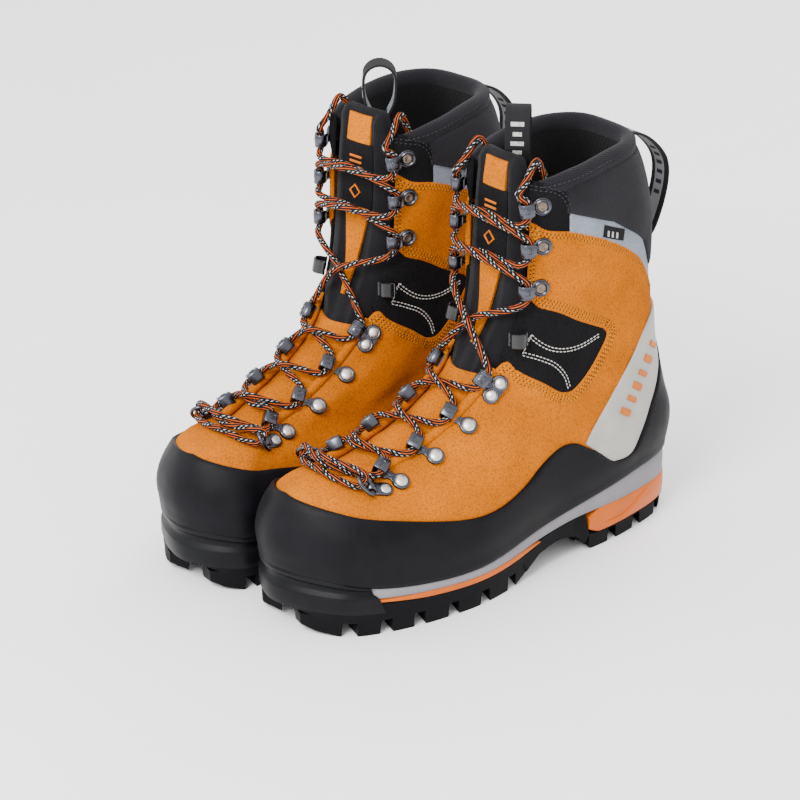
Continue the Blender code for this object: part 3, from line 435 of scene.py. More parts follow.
def cloth_places(places):
    """Millimetres along and up the last, for weaves."""
    stations = np.linspace(places[:, 0].min(), places[:, 0].max(), 80)
    middle = float(np.median(places[:, 1]))
    climb = np.linalg.norm(partials(stations, np.full(80, middle))[1], axis=1).mean()
    return np.stack([np.interp(places[:, 0], stations, lengths(skin(stations, middle))),
                     places[:, 1] * climb], 1)


DENSE_ROW = 30               # a row with fewer places is smoothed again before it is sewn


def sewing_line(row, offset):
    """A row's points and normals over the last, in steps of a millimetre."""
    track = run(*row, step=1.0) if len(row) < DENSE_ROW else np.asarray(row)
    point, normal, _, _ = skin_frame(track[:, 0], track[:, 1])
    point = point + normal * offset
    total = lengths(point)
    places = even_lengths(total, 1.0)
    return at_length(point, total, places), at_length(normal, total, places)


def polygon(*corners):
    """A closed outline with straight sides between its corners."""
    return outline_of(*[run(a, b) for a, b in zip(corners, corners[1:] + corners[:1])])


# ---------------------------------------------------------------- materials
FULL_TURN = 2 * math.pi


class Finish:
    """A Principled material whose nodes are added by short calls; its lengths are in metres."""

    def __init__(self, name, colour, roughness, **sockets):
        self.made = bpy.data.materials.new(name)
        self.made.use_nodes = True
        self.tree = self.made.node_tree
        self.shader = self.tree.nodes["Principled BSDF"]
        self.put("Base Color", (*colour, 1))
        self.put("Roughness", roughness)
        for key, value in sockets.items():
            self.put(key.replace("_", " "), value)
        places = self.tree.nodes.new("ShaderNodeTexCoord")
        self.place, self.uv = places.outputs["Object"], places.outputs["UV"]

    def put(self, key, value):
        """A socket of the shader gets a value, or the output of a node."""
        if isinstance(value, bpy.types.NodeSocket):
            self.tree.links.new(value, self.shader.inputs[key])
        else:
            self.shader.inputs[key].default_value = value

    def node(self, kind, inputs, **settings):
        """A node of a kind, with values or other nodes' outputs on its sockets."""
        made = self.tree.nodes.new(kind)
        for key, value in settings.items():
            setattr(made, key, value)
        for key, value in inputs.items():
            if isinstance(value, bpy.types.NodeSocket):
                self.tree.links.new(value, made.inputs[key])
            else:
                made.inputs[key].default_value = value
        return made

    def noise(self, scale, detail=3.0):
        """Noise over the piece; the scale is in bumps a metre."""
        return self.node("ShaderNodeTexNoise", {"Vector": self.place, "Scale": scale,
                                                "Detail": detail}).outputs[0]

    def maths(self, operation, a, b=0.0):
        return self.node("ShaderNodeMath", {0: a, 1: b}, operation=operation).outputs[0]

    def plus(self, a, b):
        return self.maths("ADD", a, b)

    def times(self, a, b):
        return self.maths("MULTIPLY", a, b)

    def over(self, a, b):
        return self.maths("DIVIDE", a, b)

    def wave(self, value, turn):
        """The sine of a value times a turn."""
        return self.maths("SINE", self.times(value, turn))

    def between(self, value, low, high):
        """Where a value lies between two others."""
        return self.times(self.maths("GREATER_THAN", value, low), self.maths("LESS_THAN", value, high))

    def near_half(self, value, reach):
        """Where a value is within a reach of one half."""
        return self.maths("LESS_THAN", self.maths("ABSOLUTE", self.maths("SUBTRACT", value, .5)), reach)

    def crossed(self, a, b):
        """Two waves crossed, from 0 to 1."""
        return self.plus(self.times(self.times(a, b), .5), .5)

    def split(self, vector):
        return self.node("ShaderNodeSeparateXYZ", {0: vector}).outputs

    def ramp(self, value, *stops):
        """A colour for each value, from (place, colour) stops."""
        made = self.node("ShaderNodeValToRGB", {0: value})
        elements = made.color_ramp.elements
        while len(elements) < len(stops):
            elements.new(0.5)
        for element, (place, colour) in zip(elements, stops):
            element.position = place
            element.color = (*colour, 1)
        return made.outputs[0]

    def mix(self, factor, a, b, how="MIX"):
        """Two colours mixed."""
        inputs = {0: factor, 6: a if isinstance(a, bpy.types.NodeSocket) else (*a, 1),
                  7: b if isinstance(b, bpy.types.NodeSocket) else (*b, 1)}
        return self.node("ShaderNodeMix", inputs, data_type="RGBA", blend_type=how).outputs[2]

    def relief(self, *layers):
        """Bumps from (height, strength, distance), one over the other."""
        last = None
        for height, strength, distance in layers:
            inputs = {"Height": height, "Strength": strength, "Distance": distance}
            if last:
                inputs["Normal"] = last
            last = self.node("ShaderNodeBump", inputs).outputs[0]
        self.put("Normal", last)

    def tone(self, colour, scale, low=.82, high=1.12):
        """A colour made slowly lighter and darker over the surface."""
        shade = self.ramp(self.noise(scale, 2.0), (.3, (low,) * 3), (.7, (high,) * 3))
        return self.mix(1.0, colour, shade, "MULTIPLY")


def scaled(colour, factor):
    """A colour made lighter or darker."""
    return tuple(c * factor for c in colour)


def suede(name, base, grain=1500, speck=.45, relief=.00035, sheen=.04):
    """Napped leather: fine fibres, small dark flecks and slow changes of tone."""
    finish = Finish(name, base, .95, Sheen_Weight=sheen, Sheen_Roughness=.45, Specular_IOR_Level=.05,
                    Sheen_Tint=(*[min(1.0, c * 1.4 + .05) for c in base], 1))
    fibre, fleck = finish.noise(grain, 3.0), finish.noise(grain * .55, 5.0)
    colour = finish.ramp(fibre, (.34, scaled(base, speck)), (.50, scaled(base, .94)),
                         (.66, scaled(base, 1.15)))
    spots = finish.ramp(fleck, (.38, scaled(base, .55)), (.50, base), (.66, scaled(base, 1.12)))
    colour = finish.mix(.55, colour, spots)
    finish.put("Base Color", finish.tone(colour, 40, .86, 1.10))
    finish.relief((fibre, .8, relief), (finish.noise(120, 2.0), .35, .0006))
    return finish.made


def rubber(name, base, roughness=.52, grain=900, relief=.00008, gloss=.13):
    """Matte moulded rubber with a faint skin and dusty patches."""
    finish = Finish(name, base, roughness, Specular_IOR_Level=gloss)
    dust = finish.noise(55, 4.0)
    finish.put("Base Color", finish.ramp(dust, (.35, scaled(base, .8)), (.75, scaled(base, 1.5))))
    finish.put("Roughness", finish.ramp(dust, (.3, (roughness - .07,) * 3), (.8, (roughness + .12,) * 3)))
    finish.relief((finish.noise(grain, 3.0), .6, relief), (finish.noise(70, 2.0), .25, .0004))
    return finish.made


def foam(name, base, roughness=.62, fleck=.9):
    """Moulded foam or soft plastic: fine pores and a slightly uneven tone."""
    finish = Finish(name, base, roughness, Specular_IOR_Level=.2)
    pores = finish.noise(1800, 2.0)
    colour = finish.ramp(pores, (.35, scaled(base, fleck)), (.6, base))
    finish.put("Base Color", finish.tone(colour, 60, .93, 1.06))
    finish.relief((pores, .5, .00006), (finish.noise(90, 2.0), .3, .0003))
    return finish.made


def woven(name, base, thread=1.1, light=1.9, roughness=.9, relief=.00025, sheen=.2, slant=1.0):
    """Cloth from crossed ribs in the texture's millimetres; slant turns them into a twill."""
    finish = Finish(name, base, roughness, Sheen_Weight=sheen, Sheen_Roughness=.5, Specular_IOR_Level=.1)
    u, v, _ = finish.split(finish.uv)
    turn = FULL_TURN / thread
    weft = finish.wave(finish.plus(u, finish.times(v, slant)), turn)
    warp = finish.wave(finish.maths("SUBTRACT", v, finish.times(u, slant)), turn * .8)
    weave = finish.crossed(weft, warp)
    colour = finish.ramp(weave, (.2, scaled(base, .7)), (.8, scaled(base, light)))
    fuzz = finish.ramp(finish.noise(1400, 3.0), (.35, scaled(base, .5)), (.7, scaled(base, 1.8)))
    colour = finish.mix(.35, colour, fuzz)
    finish.put("Base Color", finish.tone(colour, 50, .85, 1.15))
    finish.relief((weave, .9, relief), (finish.noise(1600, 2.0), .4, .00012))
    return finish.made


def metal(name, base, roughness, wear=1.5):
    """Plated steel with brushed, slightly worn patches."""
    finish = Finish(name, base, roughness, Metallic=1.0)
    scuff = finish.noise(420, 4.0)
    finish.put("Base Color", finish.ramp(scuff, (.35, scaled(base, .92)), (.72, scaled(base, wear))))
    finish.put("Roughness", finish.ramp(finish.noise(900, 3.0), (.3, (roughness * .75,) * 3),
                                        (.75, (roughness * 1.4,) * 3)))
    finish.relief((finish.noise(2200, 2.0), .4, .00002))
    return finish.made


def lace_braid():
    """A braided sheath: black with runs of orange strands and rows of white flecks."""
    black, orange, white = (.005, .005, .006), (.55, .085, .0), (.45, .45, .44)
    finish = Finish("lace_braid", black, .8, Specular_IOR_Level=.15)
    u, v, _ = finish.split(finish.uv)
    spiral = finish.maths("FRACT", finish.plus(finish.over(v, 15.0), finish.times(u, 2.0)))
    lane = finish.maths("FRACT", finish.plus(finish.times(u, 8.0), finish.over(v, 9.0)))
    pick = finish.maths("FRACT", finish.plus(finish.over(v, 2.6), finish.times(u, 4.0)))
    dash = finish.times(finish.near_half(lane, .15), finish.maths("LESS_THAN", spiral, .50))
    fleck = finish.times(finish.near_half(pick, .19), finish.near_half(lane, .26))
    dots = finish.times(fleck, finish.between(spiral, .58, .94))
    finish.put("Base Color", finish.mix(dots, finish.mix(dash, black, orange), white))
    one_way = finish.wave(finish.plus(finish.times(u, 9.0), finish.over(v, 1.9)), FULL_TURN)
    other_way = finish.wave(finish.maths("SUBTRACT", finish.times(u, 9.0), finish.over(v, 1.9)), FULL_TURN)
    finish.relief((finish.times(one_way, other_way), .8, .00018), (finish.noise(2500, 2.0), .3, .0001))
    return finish.made


def webbing(name, edge, middle, low=.24, high=.76):
    """Ribbed webbing with a band of another colour down its middle."""
    finish = Finish(name, edge, .82, Specular_IOR_Level=.2)
    u, v, _ = finish.split(finish.uv)
    rib = finish.wave(finish.plus(v, finish.times(u, 3.0)), FULL_TURN / .9)
    cord = finish.wave(u, FULL_TURN * 13)
    weave = finish.crossed(rib, cord)
    colour = finish.mix(finish.between(u, low, high), edge, middle)
    shade = finish.ramp(weave, (.1, (.7,) * 3), (.9, (1.25,) * 3))
    finish.put("Base Color", finish.mix(1.0, colour, shade, "MULTIPLY"))
    finish.relief((weave, .9, .0002), (finish.noise(2000, 2.0), .3, .0001))
    return finish.made


ORANGE = (.47, .122, .0)
FINISHES = {
    "orange": suede("orange_suede", ORANGE),
    "black_suede": suede("black_nubuck", (.0075, .0072, .0080), 1300, .6, .0003, .0),
    "rubber": rubber("rand_rubber", (.0040, .0039, .0052), .5, gloss=.09),
    "sole": rubber("tread_rubber", (.0032, .0032, .0040), .6, 700, .00012, .07),
    "glossy": rubber("lip_rubber", (.0035, .0035, .0045), .40, 700, .00004, .11),
    "grey_foam": foam("midsole_foam", (.20, .19, .205)),
    "orange_foam": foam("orange_rubber", (.50, .095, .0), .42, .95),
    "strap": foam("strap_grey", (.37, .355, .325), .55, .95),
    "mark": foam("mark_orange", (.50, .12, .0), .45, .95),
    "trim": woven("trim_fabric", (.20, .225, .265), .5, 1.15, .7, .00008, .05),
    "knit": woven("collar_knit", (.0080, .0074, .0095), 1.5, 2.2, .93, .0003, .06, .6),
    "lining": woven("lining_mesh", (.0055, .0055, .0062), 2.2, 2.2, .95, .0004, .04, 0.0),
    "tongue": woven("tongue_fabric", (.0058, .0054, .0064), 1.2, 2.0, .95, .0003, .04, 1.0),
    "footbed": woven("footbed_fabric", (.055, .055, .06), 1.4, 1.6, .95, .0003, .1, 0.0),
    "webbing": webbing("webbing_black", (.008, .008, .009), (.009, .009, .010)),
    "webbing_grey": webbing("webbing_stripe", (.008, .008, .009), (.22, .22, .235), .24, .76),
    "webbing_face": webbing("webbing_inner", (.16, .18, .19), (.20, .22, .23), .05, .95),
    "lace": lace_braid(),
    "steel": metal("gunmetal", (.075, .077, .092), .27, 1.15),
    "silver": metal("rivet_silver", (.62, .60, .57), .42, 1.2),
    "bronze": metal("rivet_core", (.13, .10, .08), .36, 1.6),
    "orange_thread": suede("orange_thread", (.52, .20, .015), 900, .8, .0001, .02),
    # painted shade: the needle holes' dark colour stands for the shade inside them
    "painted_hole_shade": suede("needle_hole_painted_shade", (.10, .024, .004), 900, .8, .0001, .0),
    "white_thread": suede("white_thread", (.46, .45, .42), 900, .8, .0001, .1),
    "black_thread": suede("black_thread", (.030, .030, .035), 900, .8, .0001, .05),
    "nylon": rubber("keeper_nylon", (.006, .006, .007), .22, 900, .00003, .5),
    "board": foam("board_fibre", (.45, .36, .22), .9),
}


# ---------------------------------------------------------------- placing pieces on both boots
SIDES = ((1, "left"), (-1, "right"))
WELD = 2e-6


def boot_matrix(side):
    """From a boot's millimetre frame to the pair's frame in metres; the right boot is mirrored."""
    turn = Matrix.Rotation(math.radians(-side * TOE_IN), 4, "Z")
    place = Matrix.Translation((side * BOOT_SPACING / 2, side * STAGGER / 2 + PAIR_SHIFT, 0))
    return Matrix.Scale(0.001, 4) @ place @ turn @ Matrix.Diagonal((side, 1, 1, 1))


def mesh_of(name, shape, corner):
    """A Blender mesh of a shape, with its seams welded and its corners sharp past an angle in degrees."""
    mesh = bpy.data.meshes.new(name)
    mesh.from_pydata(shape.points.tolist(), [], shape.faces)
    layer = mesh.uv_layers.new(name="UVMap")
    corners = np.zeros(len(mesh.loops), np.int32)
    mesh.loops.foreach_get("vertex_index", corners)
    layer.data.foreach_set("uv", shape.uv[corners].astype(np.float32).ravel())
    bm = bmesh.new()
    bm.from_mesh(mesh)
    bmesh.ops.remove_doubles(bm, verts=bm.verts, dist=WELD)
    bmesh.ops.triangulate(bm, faces=[f for f in bm.faces if len(f.verts) > 4])
    bm.to_mesh(mesh)
    bm.free()
    mesh.shade_smooth()
    mesh.set_sharp_from_angle(angle=math.radians(corner))
    return mesh


def place_piece(name, shape, finish, body="boot", nodes=(), corner=42):
    """One piece on each boot: it rides on a body, and may stand for some of the CAD's nodes."""
    made = []
    for side, label in SIDES:
        mesh = mesh_of(name, shape.moved(boot_matrix(side)), corner)
        mesh.materials.append(FINISHES[finish])
        piece = bpy.data.objects.new(f"{name}_{label}", mesh)
        bpy.context.scene.collection.objects.link(piece)
        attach(piece, f"{label}_{body}")
        if nodes:
            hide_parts(*[f"{node}_{label}" for node in nodes])
        made.append(piece)
    return made


# ---------------------------------------------------------------- stitching
def stitches(points, normals, pitch, length, radius):
    """A bead for each stitch along a path."""
    total = lengths(points)
    count = max(1, int(total[-1] / pitch))
    beads = []
    for k in range(count):
        place = (k + .5) * total[-1] / count
        centre = at_length(points, total, place)
        normal = unit(at_length(normals, total, place))
        forward = unit(at_length(points, total, place + .4) - at_length(points, total, place - .4))
        side = np.cross(normal, forward)
        rings = []
        for f, r in ((-.5, .35), (-.28, .9), (.28, .9), (.5, .35)):
            rise = -.25 * radius if abs(f) > .4 else .1 * radius
            middle = centre + forward * f * length + normal * rise
            rings.append([middle + radius * r * (math.cos(a) * side + math.sin(a) * normal)
                          for a in (0, 1.257, 2.513, 3.77, 5.027)])
        beads.append(loft(rings))
    return joined(beads)


def needle_holes(points, normals, pitch, radius):
    """A small dimple between each two stitches, painted dark as the shade in a needle hole."""
    total = lengths(points)
    count = max(1, int(total[-1] / pitch))
    holes = []
    for k in range(count + 1):
        place = k * total[-1] / count
        centre = at_length(points, total, place)
        normal = unit(at_length(normals, total, place))
        side = unit(np.cross(normal, (.31, .52, .8)))
        other = np.cross(normal, side)
        rings = [[centre + normal * h + radius * r * (math.cos(a) * side + math.sin(a) * other)
                  for a in np.radians(range(0, 360, 60))] for h, r in ((-.25, 1), (.05, 1), (.09, .5))]
        holes.append(loft(rings))
    return joined(holes)


def both_hands(rows):
    """Rows of places on the outer side, and the same on the inner side."""
    return rows + [mirror(row) for row in rows]


def sew(rows, offset, pitch=2.6, length=1.75, radius=.42):
    """Threads along rows of places."""
    return joined([stitches(*sewing_line(row, offset), pitch, length, radius) for row in rows])


def pierce(rows, offset, pitch=2.6, radius=.52):
    """Needle holes along rows of places, coloured with painted shade."""
    return joined([needle_holes(*sewing_line(row, offset), pitch, radius) for row in rows])


# ---------------------------------------------------------------- outlines of the upper, (station, t)
THROAT_FOOT = .395
LEATHER_TOP = 0.0
RAND_TOP = ((0, .295), (.7, .275), (1.5, .26), (2.5, .25), (3.3, .235), (3.65, .265), (3.9, .32),
            (4.1, .34), (4.28, .32), (4.5, .24), (4.78, .125), (4.98, .12), (5.25, .225), (5.6, .33),
            (6.0, .47), (6.4, .56), (7, .60))
STRAP_FRONT = ((4.42, .285), (4.56, .39), (4.75, .515), (5.1, .61), (5.67, .665), (7, .70))
STRAP_REAR = ((4.72, .13), (4.94, .11), (5.2, .21), (5.54, .31), (5.95, .455), (6.38, .545), (7, .585))
THROAT_EDGE = ((.0, THROAT_FOOT), (.55, .401), (.95, .42), (1.1, .46), (1.1, .56), (1.08, .63))
QUARTER_TAB = ((1.08, .63), (1.09, .66), (1.22, .684), (1.5, .692), (1.8, .684))
QUARTER_TOP = ((1.8, .684), (2.2, .668), (2.9, .624), (3.45, .578))
FLEX_REAR = ((3.45, .578), (3.72, .566), (3.86, .585), (4.05, .65), (4.12, .684), (3.98, .702))
BAND_FOOT = ((3.98, .702), (3.4, .735), (2.6, .774), (1.9, .793), (1.5, .806))
BAND_FRONT = ((1.5, .806), (1.22, .823), (1.12, .86), (1.1, .90), (1.08, .935))
BAND_TOP = ((1.08, .945), (2.0, .931), (3.0, .913), (4.3, .865), (5.25, .80), (5.95, .73), (7, .705))
TRIM_FOOT = ((2.7, .91), (3.2, .897), (4.3, .855), (5.25, .79), (5.95, .72), (7, .695))
TRIM_TOP = ((2.7, .957), (3.1, .946), (4.08, .918), (5.25, .855), (5.8, .79), (7, .745))


def round_heel(places):
    """Places of the outer side, carried on round the heel to the inner side."""
    places = np.asarray(places, float)
    back = places[::-1] * (-1, 1) + (14, 0)
    return np.vstack([places, back[1:] if places[-1, 0] == 7 else back])


def heel_band(low, high):
    """The outline of a band that runs round the heel between two edges."""
    low, high = round_heel(run(*low)), round_heel(run(*high))
    return outline_of(low, run(low[-1], high[-1]), high[::-1], run(high[0], low[0]))


def leather_outline():
    """The suede's edge: throat, flex notch, ankle band, the seam down the heel and the feather line."""
    sides = (THROAT_EDGE, QUARTER_TAB + QUARTER_TOP[1:], FLEX_REAR, BAND_FOOT, BAND_FRONT)
    half = [run(*part) for part in sides]
    half += [run((1.08, .935), (1.09, .943), (1.16, .946), (1.4, .943)), run((1.4, .943), *BAND_TOP[1:])]
    seam = run((7, .705), (7, 0.0))
    foot = run((7, 0.0), (5, 0.0), (3, 0.0), (1, 0.0), (0, 0.0))
    outer = half + [seam, foot]
    inner = [mirror(part) for part in outer[::-1]]
    return outline_of(*outer, *inner)


def make_leather():
    """The suede upper, in one piece."""
    shape = panel(leather_outline(), LEATHER_TOP, -2.2, edge=1.0, step=3.4, swell=leather_swell)
    place_piece("upper_leather", shape, "orange", nodes=("leather_upper",))


def leather_swell(places, distance):
    """Slight hollows and folds, as hand-lasted leather has."""
    s, t = places.T
    crease = .35 * np.sin(s * 5.1 + t * 31) * np.sin(t * 23 - s * 2.2)
    return crease * np.clip(distance / 14, 0, 1) * np.clip((t - .2) / .1, 0, 1)


def make_throat_rolls():
    """The rolled edges of the throat."""
    track = run((.62, .404), (.92, .415), (1.08, .455), (1.1, .56), (1.08, .645), (1.12, .677), step=1.6)
    rolls = []
    for places in (track, mirror(track)):
        point, normal, _, _ = skin_frame(*places.T)
        taper = np.clip(np.minimum(lengths(point), lengths(point)[-1] - lengths(point)) / 7, .15, 1) ** .5
        rolls.append(pipe(point + normal * .2, 3.1 * taper, 16))
    place_piece("throat_roll", joined(rolls), "orange")


def sides_panel(name, outline, finish, slot, top=0.0, back=-2.2, nodes=(), body="boot", **extra):
    """A panel on the outer side and its mirror image on the inner side, as one piece."""
    outer = panel(outline, top, back, **extra)
    inner = panel(mirror(outline), top, back, **extra)
    return place_piece(name, joined([outer, inner]), finish, body, nodes)


def make_flex_panels():
    """The black panels in the notches at the ankle."""
    outline = outline_of(run((1.0, .70), (1.6, .682), (2.2, .655), (2.9, .613), (3.6, .56)),
                         run((3.6, .56), (3.78, .556), (4.0, .62), (4.2, .69), (4.05, .712)),
                         run((4.05, .712), (3.4, .745), (2.6, .785), (1.9, .803), (1.0, .825)),
                         run((1.0, .825), (1.0, .70)))
    sides_panel("flex_panel", outline, "black_suede", "black_suede", -.75, -2.4, edge=.5,
                nodes=("flex_panel_lateral", "flex_panel_medial"), swell=flex_folds)


def flex_folds(places, distance):
    """Soft folds where the ankle bends."""
    s, t = places.T
    fade = np.clip(distance / 12, 0, 1) * np.clip((3.2 - np.abs(s)) / 1.5, 0, 1)
    return .45 * np.sin((t - .03 * s) * 130) * fade


def make_flaps():
    """The cuff's black front flaps, which carry the top hooks."""
    outline = outline_of(run((.95, .93), (2.0, .915), (2.95, .90)),
                         run((2.95, .90), (2.88, .945), (2.68, .985), (2.3, 1.008), (1.6, 1.018),
                             (1.0, 1.022)),
                         run((1.0, 1.022), (.93, 1.0), (.92, .96), (.95, .93)))
    sides_panel("cuff_flap", outline, "black_suede", "black_suede", -.8, -2.2, edge=.6, swell=flap_rise,
                nodes=("facing_lateral", "facing_medial"))


def flap_rise(places, distance):
    """The flap lies under the band's top edge and rises over the collar's front above it."""
    return 1.9 * np.clip((places[:, 1] - .948) / .02, 0, 1) * np.clip(distance / 1.5, .35, 1)


def make_trim():
    """The grey band under the collar."""
    outline = heel_band(TRIM_FOOT, TRIM_TOP)
    place_piece("cuff_trim", panel(outline, -.35, -2.2, edge=.5, step=3.2), "trim",
                nodes=("cuff_trim",))


TAG = ((3.72, .892), (4.36, .871), (4.40, .892), (3.76, .913))
TAG_BAR = ((3.84, .891), (3.90, .889), (3.91, .8995), (3.85, .9015))


def make_tag():
    """A small plain woven tag sewn on the trim of the outer side, with three bars."""
    place_piece("side_tag", panel(polygon(*TAG), .35, -.5, edge=.3, step=3), "tongue")
    bars = []
    for k in range(3):
        bar = polygon(*[(s + k * .14, t - k * .0045) for s, t in TAG_BAR])
        bars.append(panel(bar, .5, .2, edge=.1, step=3))
    place_piece("side_tag_bars", joined(bars), "strap")


def make_rand():
    """The rubber rand round the foot."""
    outer = [run(*RAND_TOP), run((7, .60), (7, -.004)),
             run((7, -.004), (5, -.004), (3, -.004), (1, -.004), (0, -.004))]
    outline = outline_of(*outer, *[mirror(part) for part in outer[::-1]])
    place_piece("rand", panel(outline, 2.4, .2, edge=1.5, step=3.6, swell=rand_swell), "rubber",
                nodes=("rand",))


def rand_swell(places, distance):
    """A thicker lower edge, as a moulded rand has."""
    s, t = places.T
    lip = np.exp(-((t - .015) / .02) ** 2) * .7
    return lip * np.clip(distance / 2, 0, 1) + .25 * np.sin(s * 2.3) * np.clip(distance / 20, 0, 1)


def make_strap():
    """The grey strap round the heel."""
    outline = heel_band(STRAP_REAR, STRAP_FRONT)
    place_piece("heel_strap", panel(outline, 1.5, .2, edge=.8, step=3.2), "strap",
                nodes=("heel_strap",))


MARK_PLACES = ((4.93, .335), (5.03, .385), (5.14, .435), (5.27, .482), (5.42, .525), (5.62, .562))


MARK_TURN = math.radians(36)


def make_strap_marks():
    """A row of plain raised bars along the heel strap."""
    cos, sin = math.cos(MARK_TURN), math.sin(MARK_TURN)
    bars = []
    for k, (s, t) in enumerate(MARK_PLACES):
        for hand in (1, -1):
            centre, normal, along, up = (a[0] for a in skin_frame(hand * s, t))
            path = [centre + normal * 1.9 + (along * hand * cos - up * sin) * f
                    for f in np.linspace(-4.6, 4.6, 7)]
            width = 3.4 if k % 2 else 4.6
            bars.append(strip(path, up * cos + along * hand * sin, width, 1.5, .5))
    place_piece("heel_strap_bars", joined(bars), "mark", corner=60)


COLLAR_PROFILE = ((0.0, .0), (.04, 1.3), (.2, 3.0), (.45, 3.8), (.72, 3.3), (.93, 2.3), (1.0, .4))
COLLAR_FRONT = 1.35
COLLAR_TOP = .996
ROLL_OUT, ROLL_UP = 4.7, 6.4


def make_collar():
    """The padded knit cuff and, above its seam, the rolled edge that turns into the boot."""
    stations = np.linspace(COLLAR_FRONT, 7, 84)
    stations = np.concatenate([stations, 14 - stations[-2::-1]])
    place = np.minimum(stations, 14 - stations)
    full = np.clip((place - 2.35) / .6, 0, 1)
    full = full * full * (3 - 2 * full)
    foot = np.interp(place, *zip(*((COLLAR_FRONT, .96), *TRIM_TOP))) - .006
    rings = [shell(stations, foot + (COLLAR_TOP - foot) * f, (o + 1.6) * full - 1.6)
             for f, o in COLLAR_PROFILE]
    rings += [shell(stations, np.full(len(stations), COLLAR_TOP), np.full(len(stations), -4.5)),
              shell(stations, (foot + COLLAR_TOP) / 2, np.full(len(stations), -4.8)),
              shell(stations, foot + .01, np.full(len(stations), -3.6))]
    knit = knit_loft([curve_through(ring, 4, closed=True) for ring in np.stack(rings, 1)])
    cuff = place_piece("collar_knit", knit, "knit", nodes=("collar",))
    point, normal, _, up = skin_frame(stations, np.full(len(stations), 1.0))
    slim = .62 + .38 * np.clip((place - COLLAR_FRONT) / 1.2, 0, 1)
    centre = point - normal * 3.2 + up * (1.2 + .8 * full)[:, None]
    rings = []
    for a in np.linspace(0, 2 * math.pi, 20, endpoint=False):
        out = normal * (ROLL_OUT * math.cos(a)) + up * (ROLL_UP * math.sin(a))
        rings.append(centre + out * slim[:, None])
    place_piece("collar_roll", knit_loft(np.stack(rings, 1)), "knit")
    return cuff


def knit_loft(rings):
    """A loft whose weave runs along the collar and not across it."""
    shape = loft(np.stack(rings))
    shape.uv = shape.uv[:, ::-1].copy()
    return shape


LINING_FRONT = ((0, .30), (1.2, .33), (2.3, .40), (2.9, .52), (2.9, .74), (2.3, .90), (1.9, 1.0))


def make_lining():
    """The lining bootie, open in front where the tongue moves."""
    half = [run(*LINING_FRONT), run((1.9, 1.0), (7, 1.0)), run((7, 1.0), (7, .07)),
            run((7, .07), (5, .07), (3, .07), (1, .07), (0, .07))]
    outline = outline_of(*half, *[mirror(part) for part in half[::-1]])
    shape = panel(outline, -6.0, -7.4, edge=.5, step=4.5)
    place_piece("lining", shape, "lining", nodes=("lining",))


# ---------------------------------------------------------------- the tongue
def make_tongue():
    """The black padded tongue and, below it, the suede bellows between the throat's edges."""
    foot = run((-1.4, .64), (0, .635), (1.4, .64))
    side = run((1.4, .64), (1.45, .72), (1.1, .82), (.86, .94), (.8, 1.03))
    top = run((.8, 1.03), (.68, 1.053), (.4, 1.058), (0, 1.058))
    outline = outline_of(foot, side, top, mirror(top), mirror(side))
    shape = panel(outline, -4.4, -8.0, edge=2.0, step=3.0, swell=tongue_pads)
    pads = place_piece("tongue_pad", shape, "tongue", "tongue", ("tongue",))
    foot = run((-1.25, .43), (0, .405), (1.25, .43))
    side = run((1.25, .43), (1.45, .50), (1.5, .60), (1.42, .662))
    top = run((1.42, .662), (0, .668), (-1.42, .662))
    lower = panel(outline_of(foot, side, top, mirror(side)), -2.6, -4.2, edge=.8, step=3.0, swell=bellows)
    place_piece("tongue_lower", lower, "orange", "tongue")
    return pads


def tongue_pads(places, distance):
    """Two long pads, one on each side of the strip, and a rolled top."""
    s, t = places.T
    middle = np.clip((np.abs(s) - .30) / .16, 0, 1)
    pad = 3.4 * np.clip(distance / 9, 0, 1) ** .6 * middle
    channel = 1.0 * np.exp(-((np.abs(s) - .42) / .05) ** 2)
    sunk = 1.6 * np.clip((.70 - t) / .04, 0, 1)
    pad *= np.clip((t - .645) / .05, 0, 1)
    return pad - channel - sunk + 1.5 * np.exp(-((t - 1.035) / .014) ** 2) * np.clip(distance / 3, 0, 1)


def bellows(places, distance):
    """The recessed middle between the throat's edges, with folds that run to the sides."""
    s, t = places.T
    return .9 * np.cos(s * 2.1) + .35 * np.sin(t * 150 + np.abs(s) * 3.0) * np.clip(distance / 6, 0, 1)


STRIP_SIDE = ((.06, .715), (.16, .76), (.33, .85), (.36, .90), (.36, 1.045))
LABEL = ((-.46, .872), (.46, .872), (.46, .992), (-.46, .992))
LABEL_DIAMOND = ((-4.2, 0), (0, 4.2), (4.2, 0), (0, -4.2))


def make_tongue_strip():
    """The suede strip down the tongue, and a label with a plain diamond and three bars."""
    other_side = [(-s, t) for s, t in STRIP_SIDE[::-1]]
    outline = outline_of(run((-.06, .715), (.06, .715)), run(*STRIP_SIDE),
                         run((.36, 1.045), (-.36, 1.045)), run(*other_side))
    place_piece("tongue_strip", panel(outline, -1.5, -3.6, edge=.6, step=3.0), "orange",
                "tongue", ("tongue_strip",))
    place_piece("tongue_label", panel(polygon(*LABEL), -.9, -1.9, edge=.5, step=3.0), "black_suede",
                "tongue")
    centre, normal, along, up = (a[0] for a in skin_frame(0, .90))
    diamond = [centre - normal * .75 + along * x + up * y for x, y in LABEL_DIAMOND]
    marks = [pipe(diamond, .7, 8, closed=True)]
    centre, normal, along, up = (a[0] for a in skin_frame(0, .955))
    for y in (-3.5, 0, 3.5):
        path = [centre - normal * .7 + along * x + up * y for x in np.linspace(-5, 5, 5)]
        marks.append(strip(path, up, 1.5, .6, .2))
    place_piece("tongue_label_bars", joined(marks), "mark", "tongue")


# ---------------------------------------------------------------- stitching of the upper
def rows_beside(places, *distances):
    """Rows of places at some distances to the right of an edge."""
    return [sideways(run(*places), -d) for d in distances]


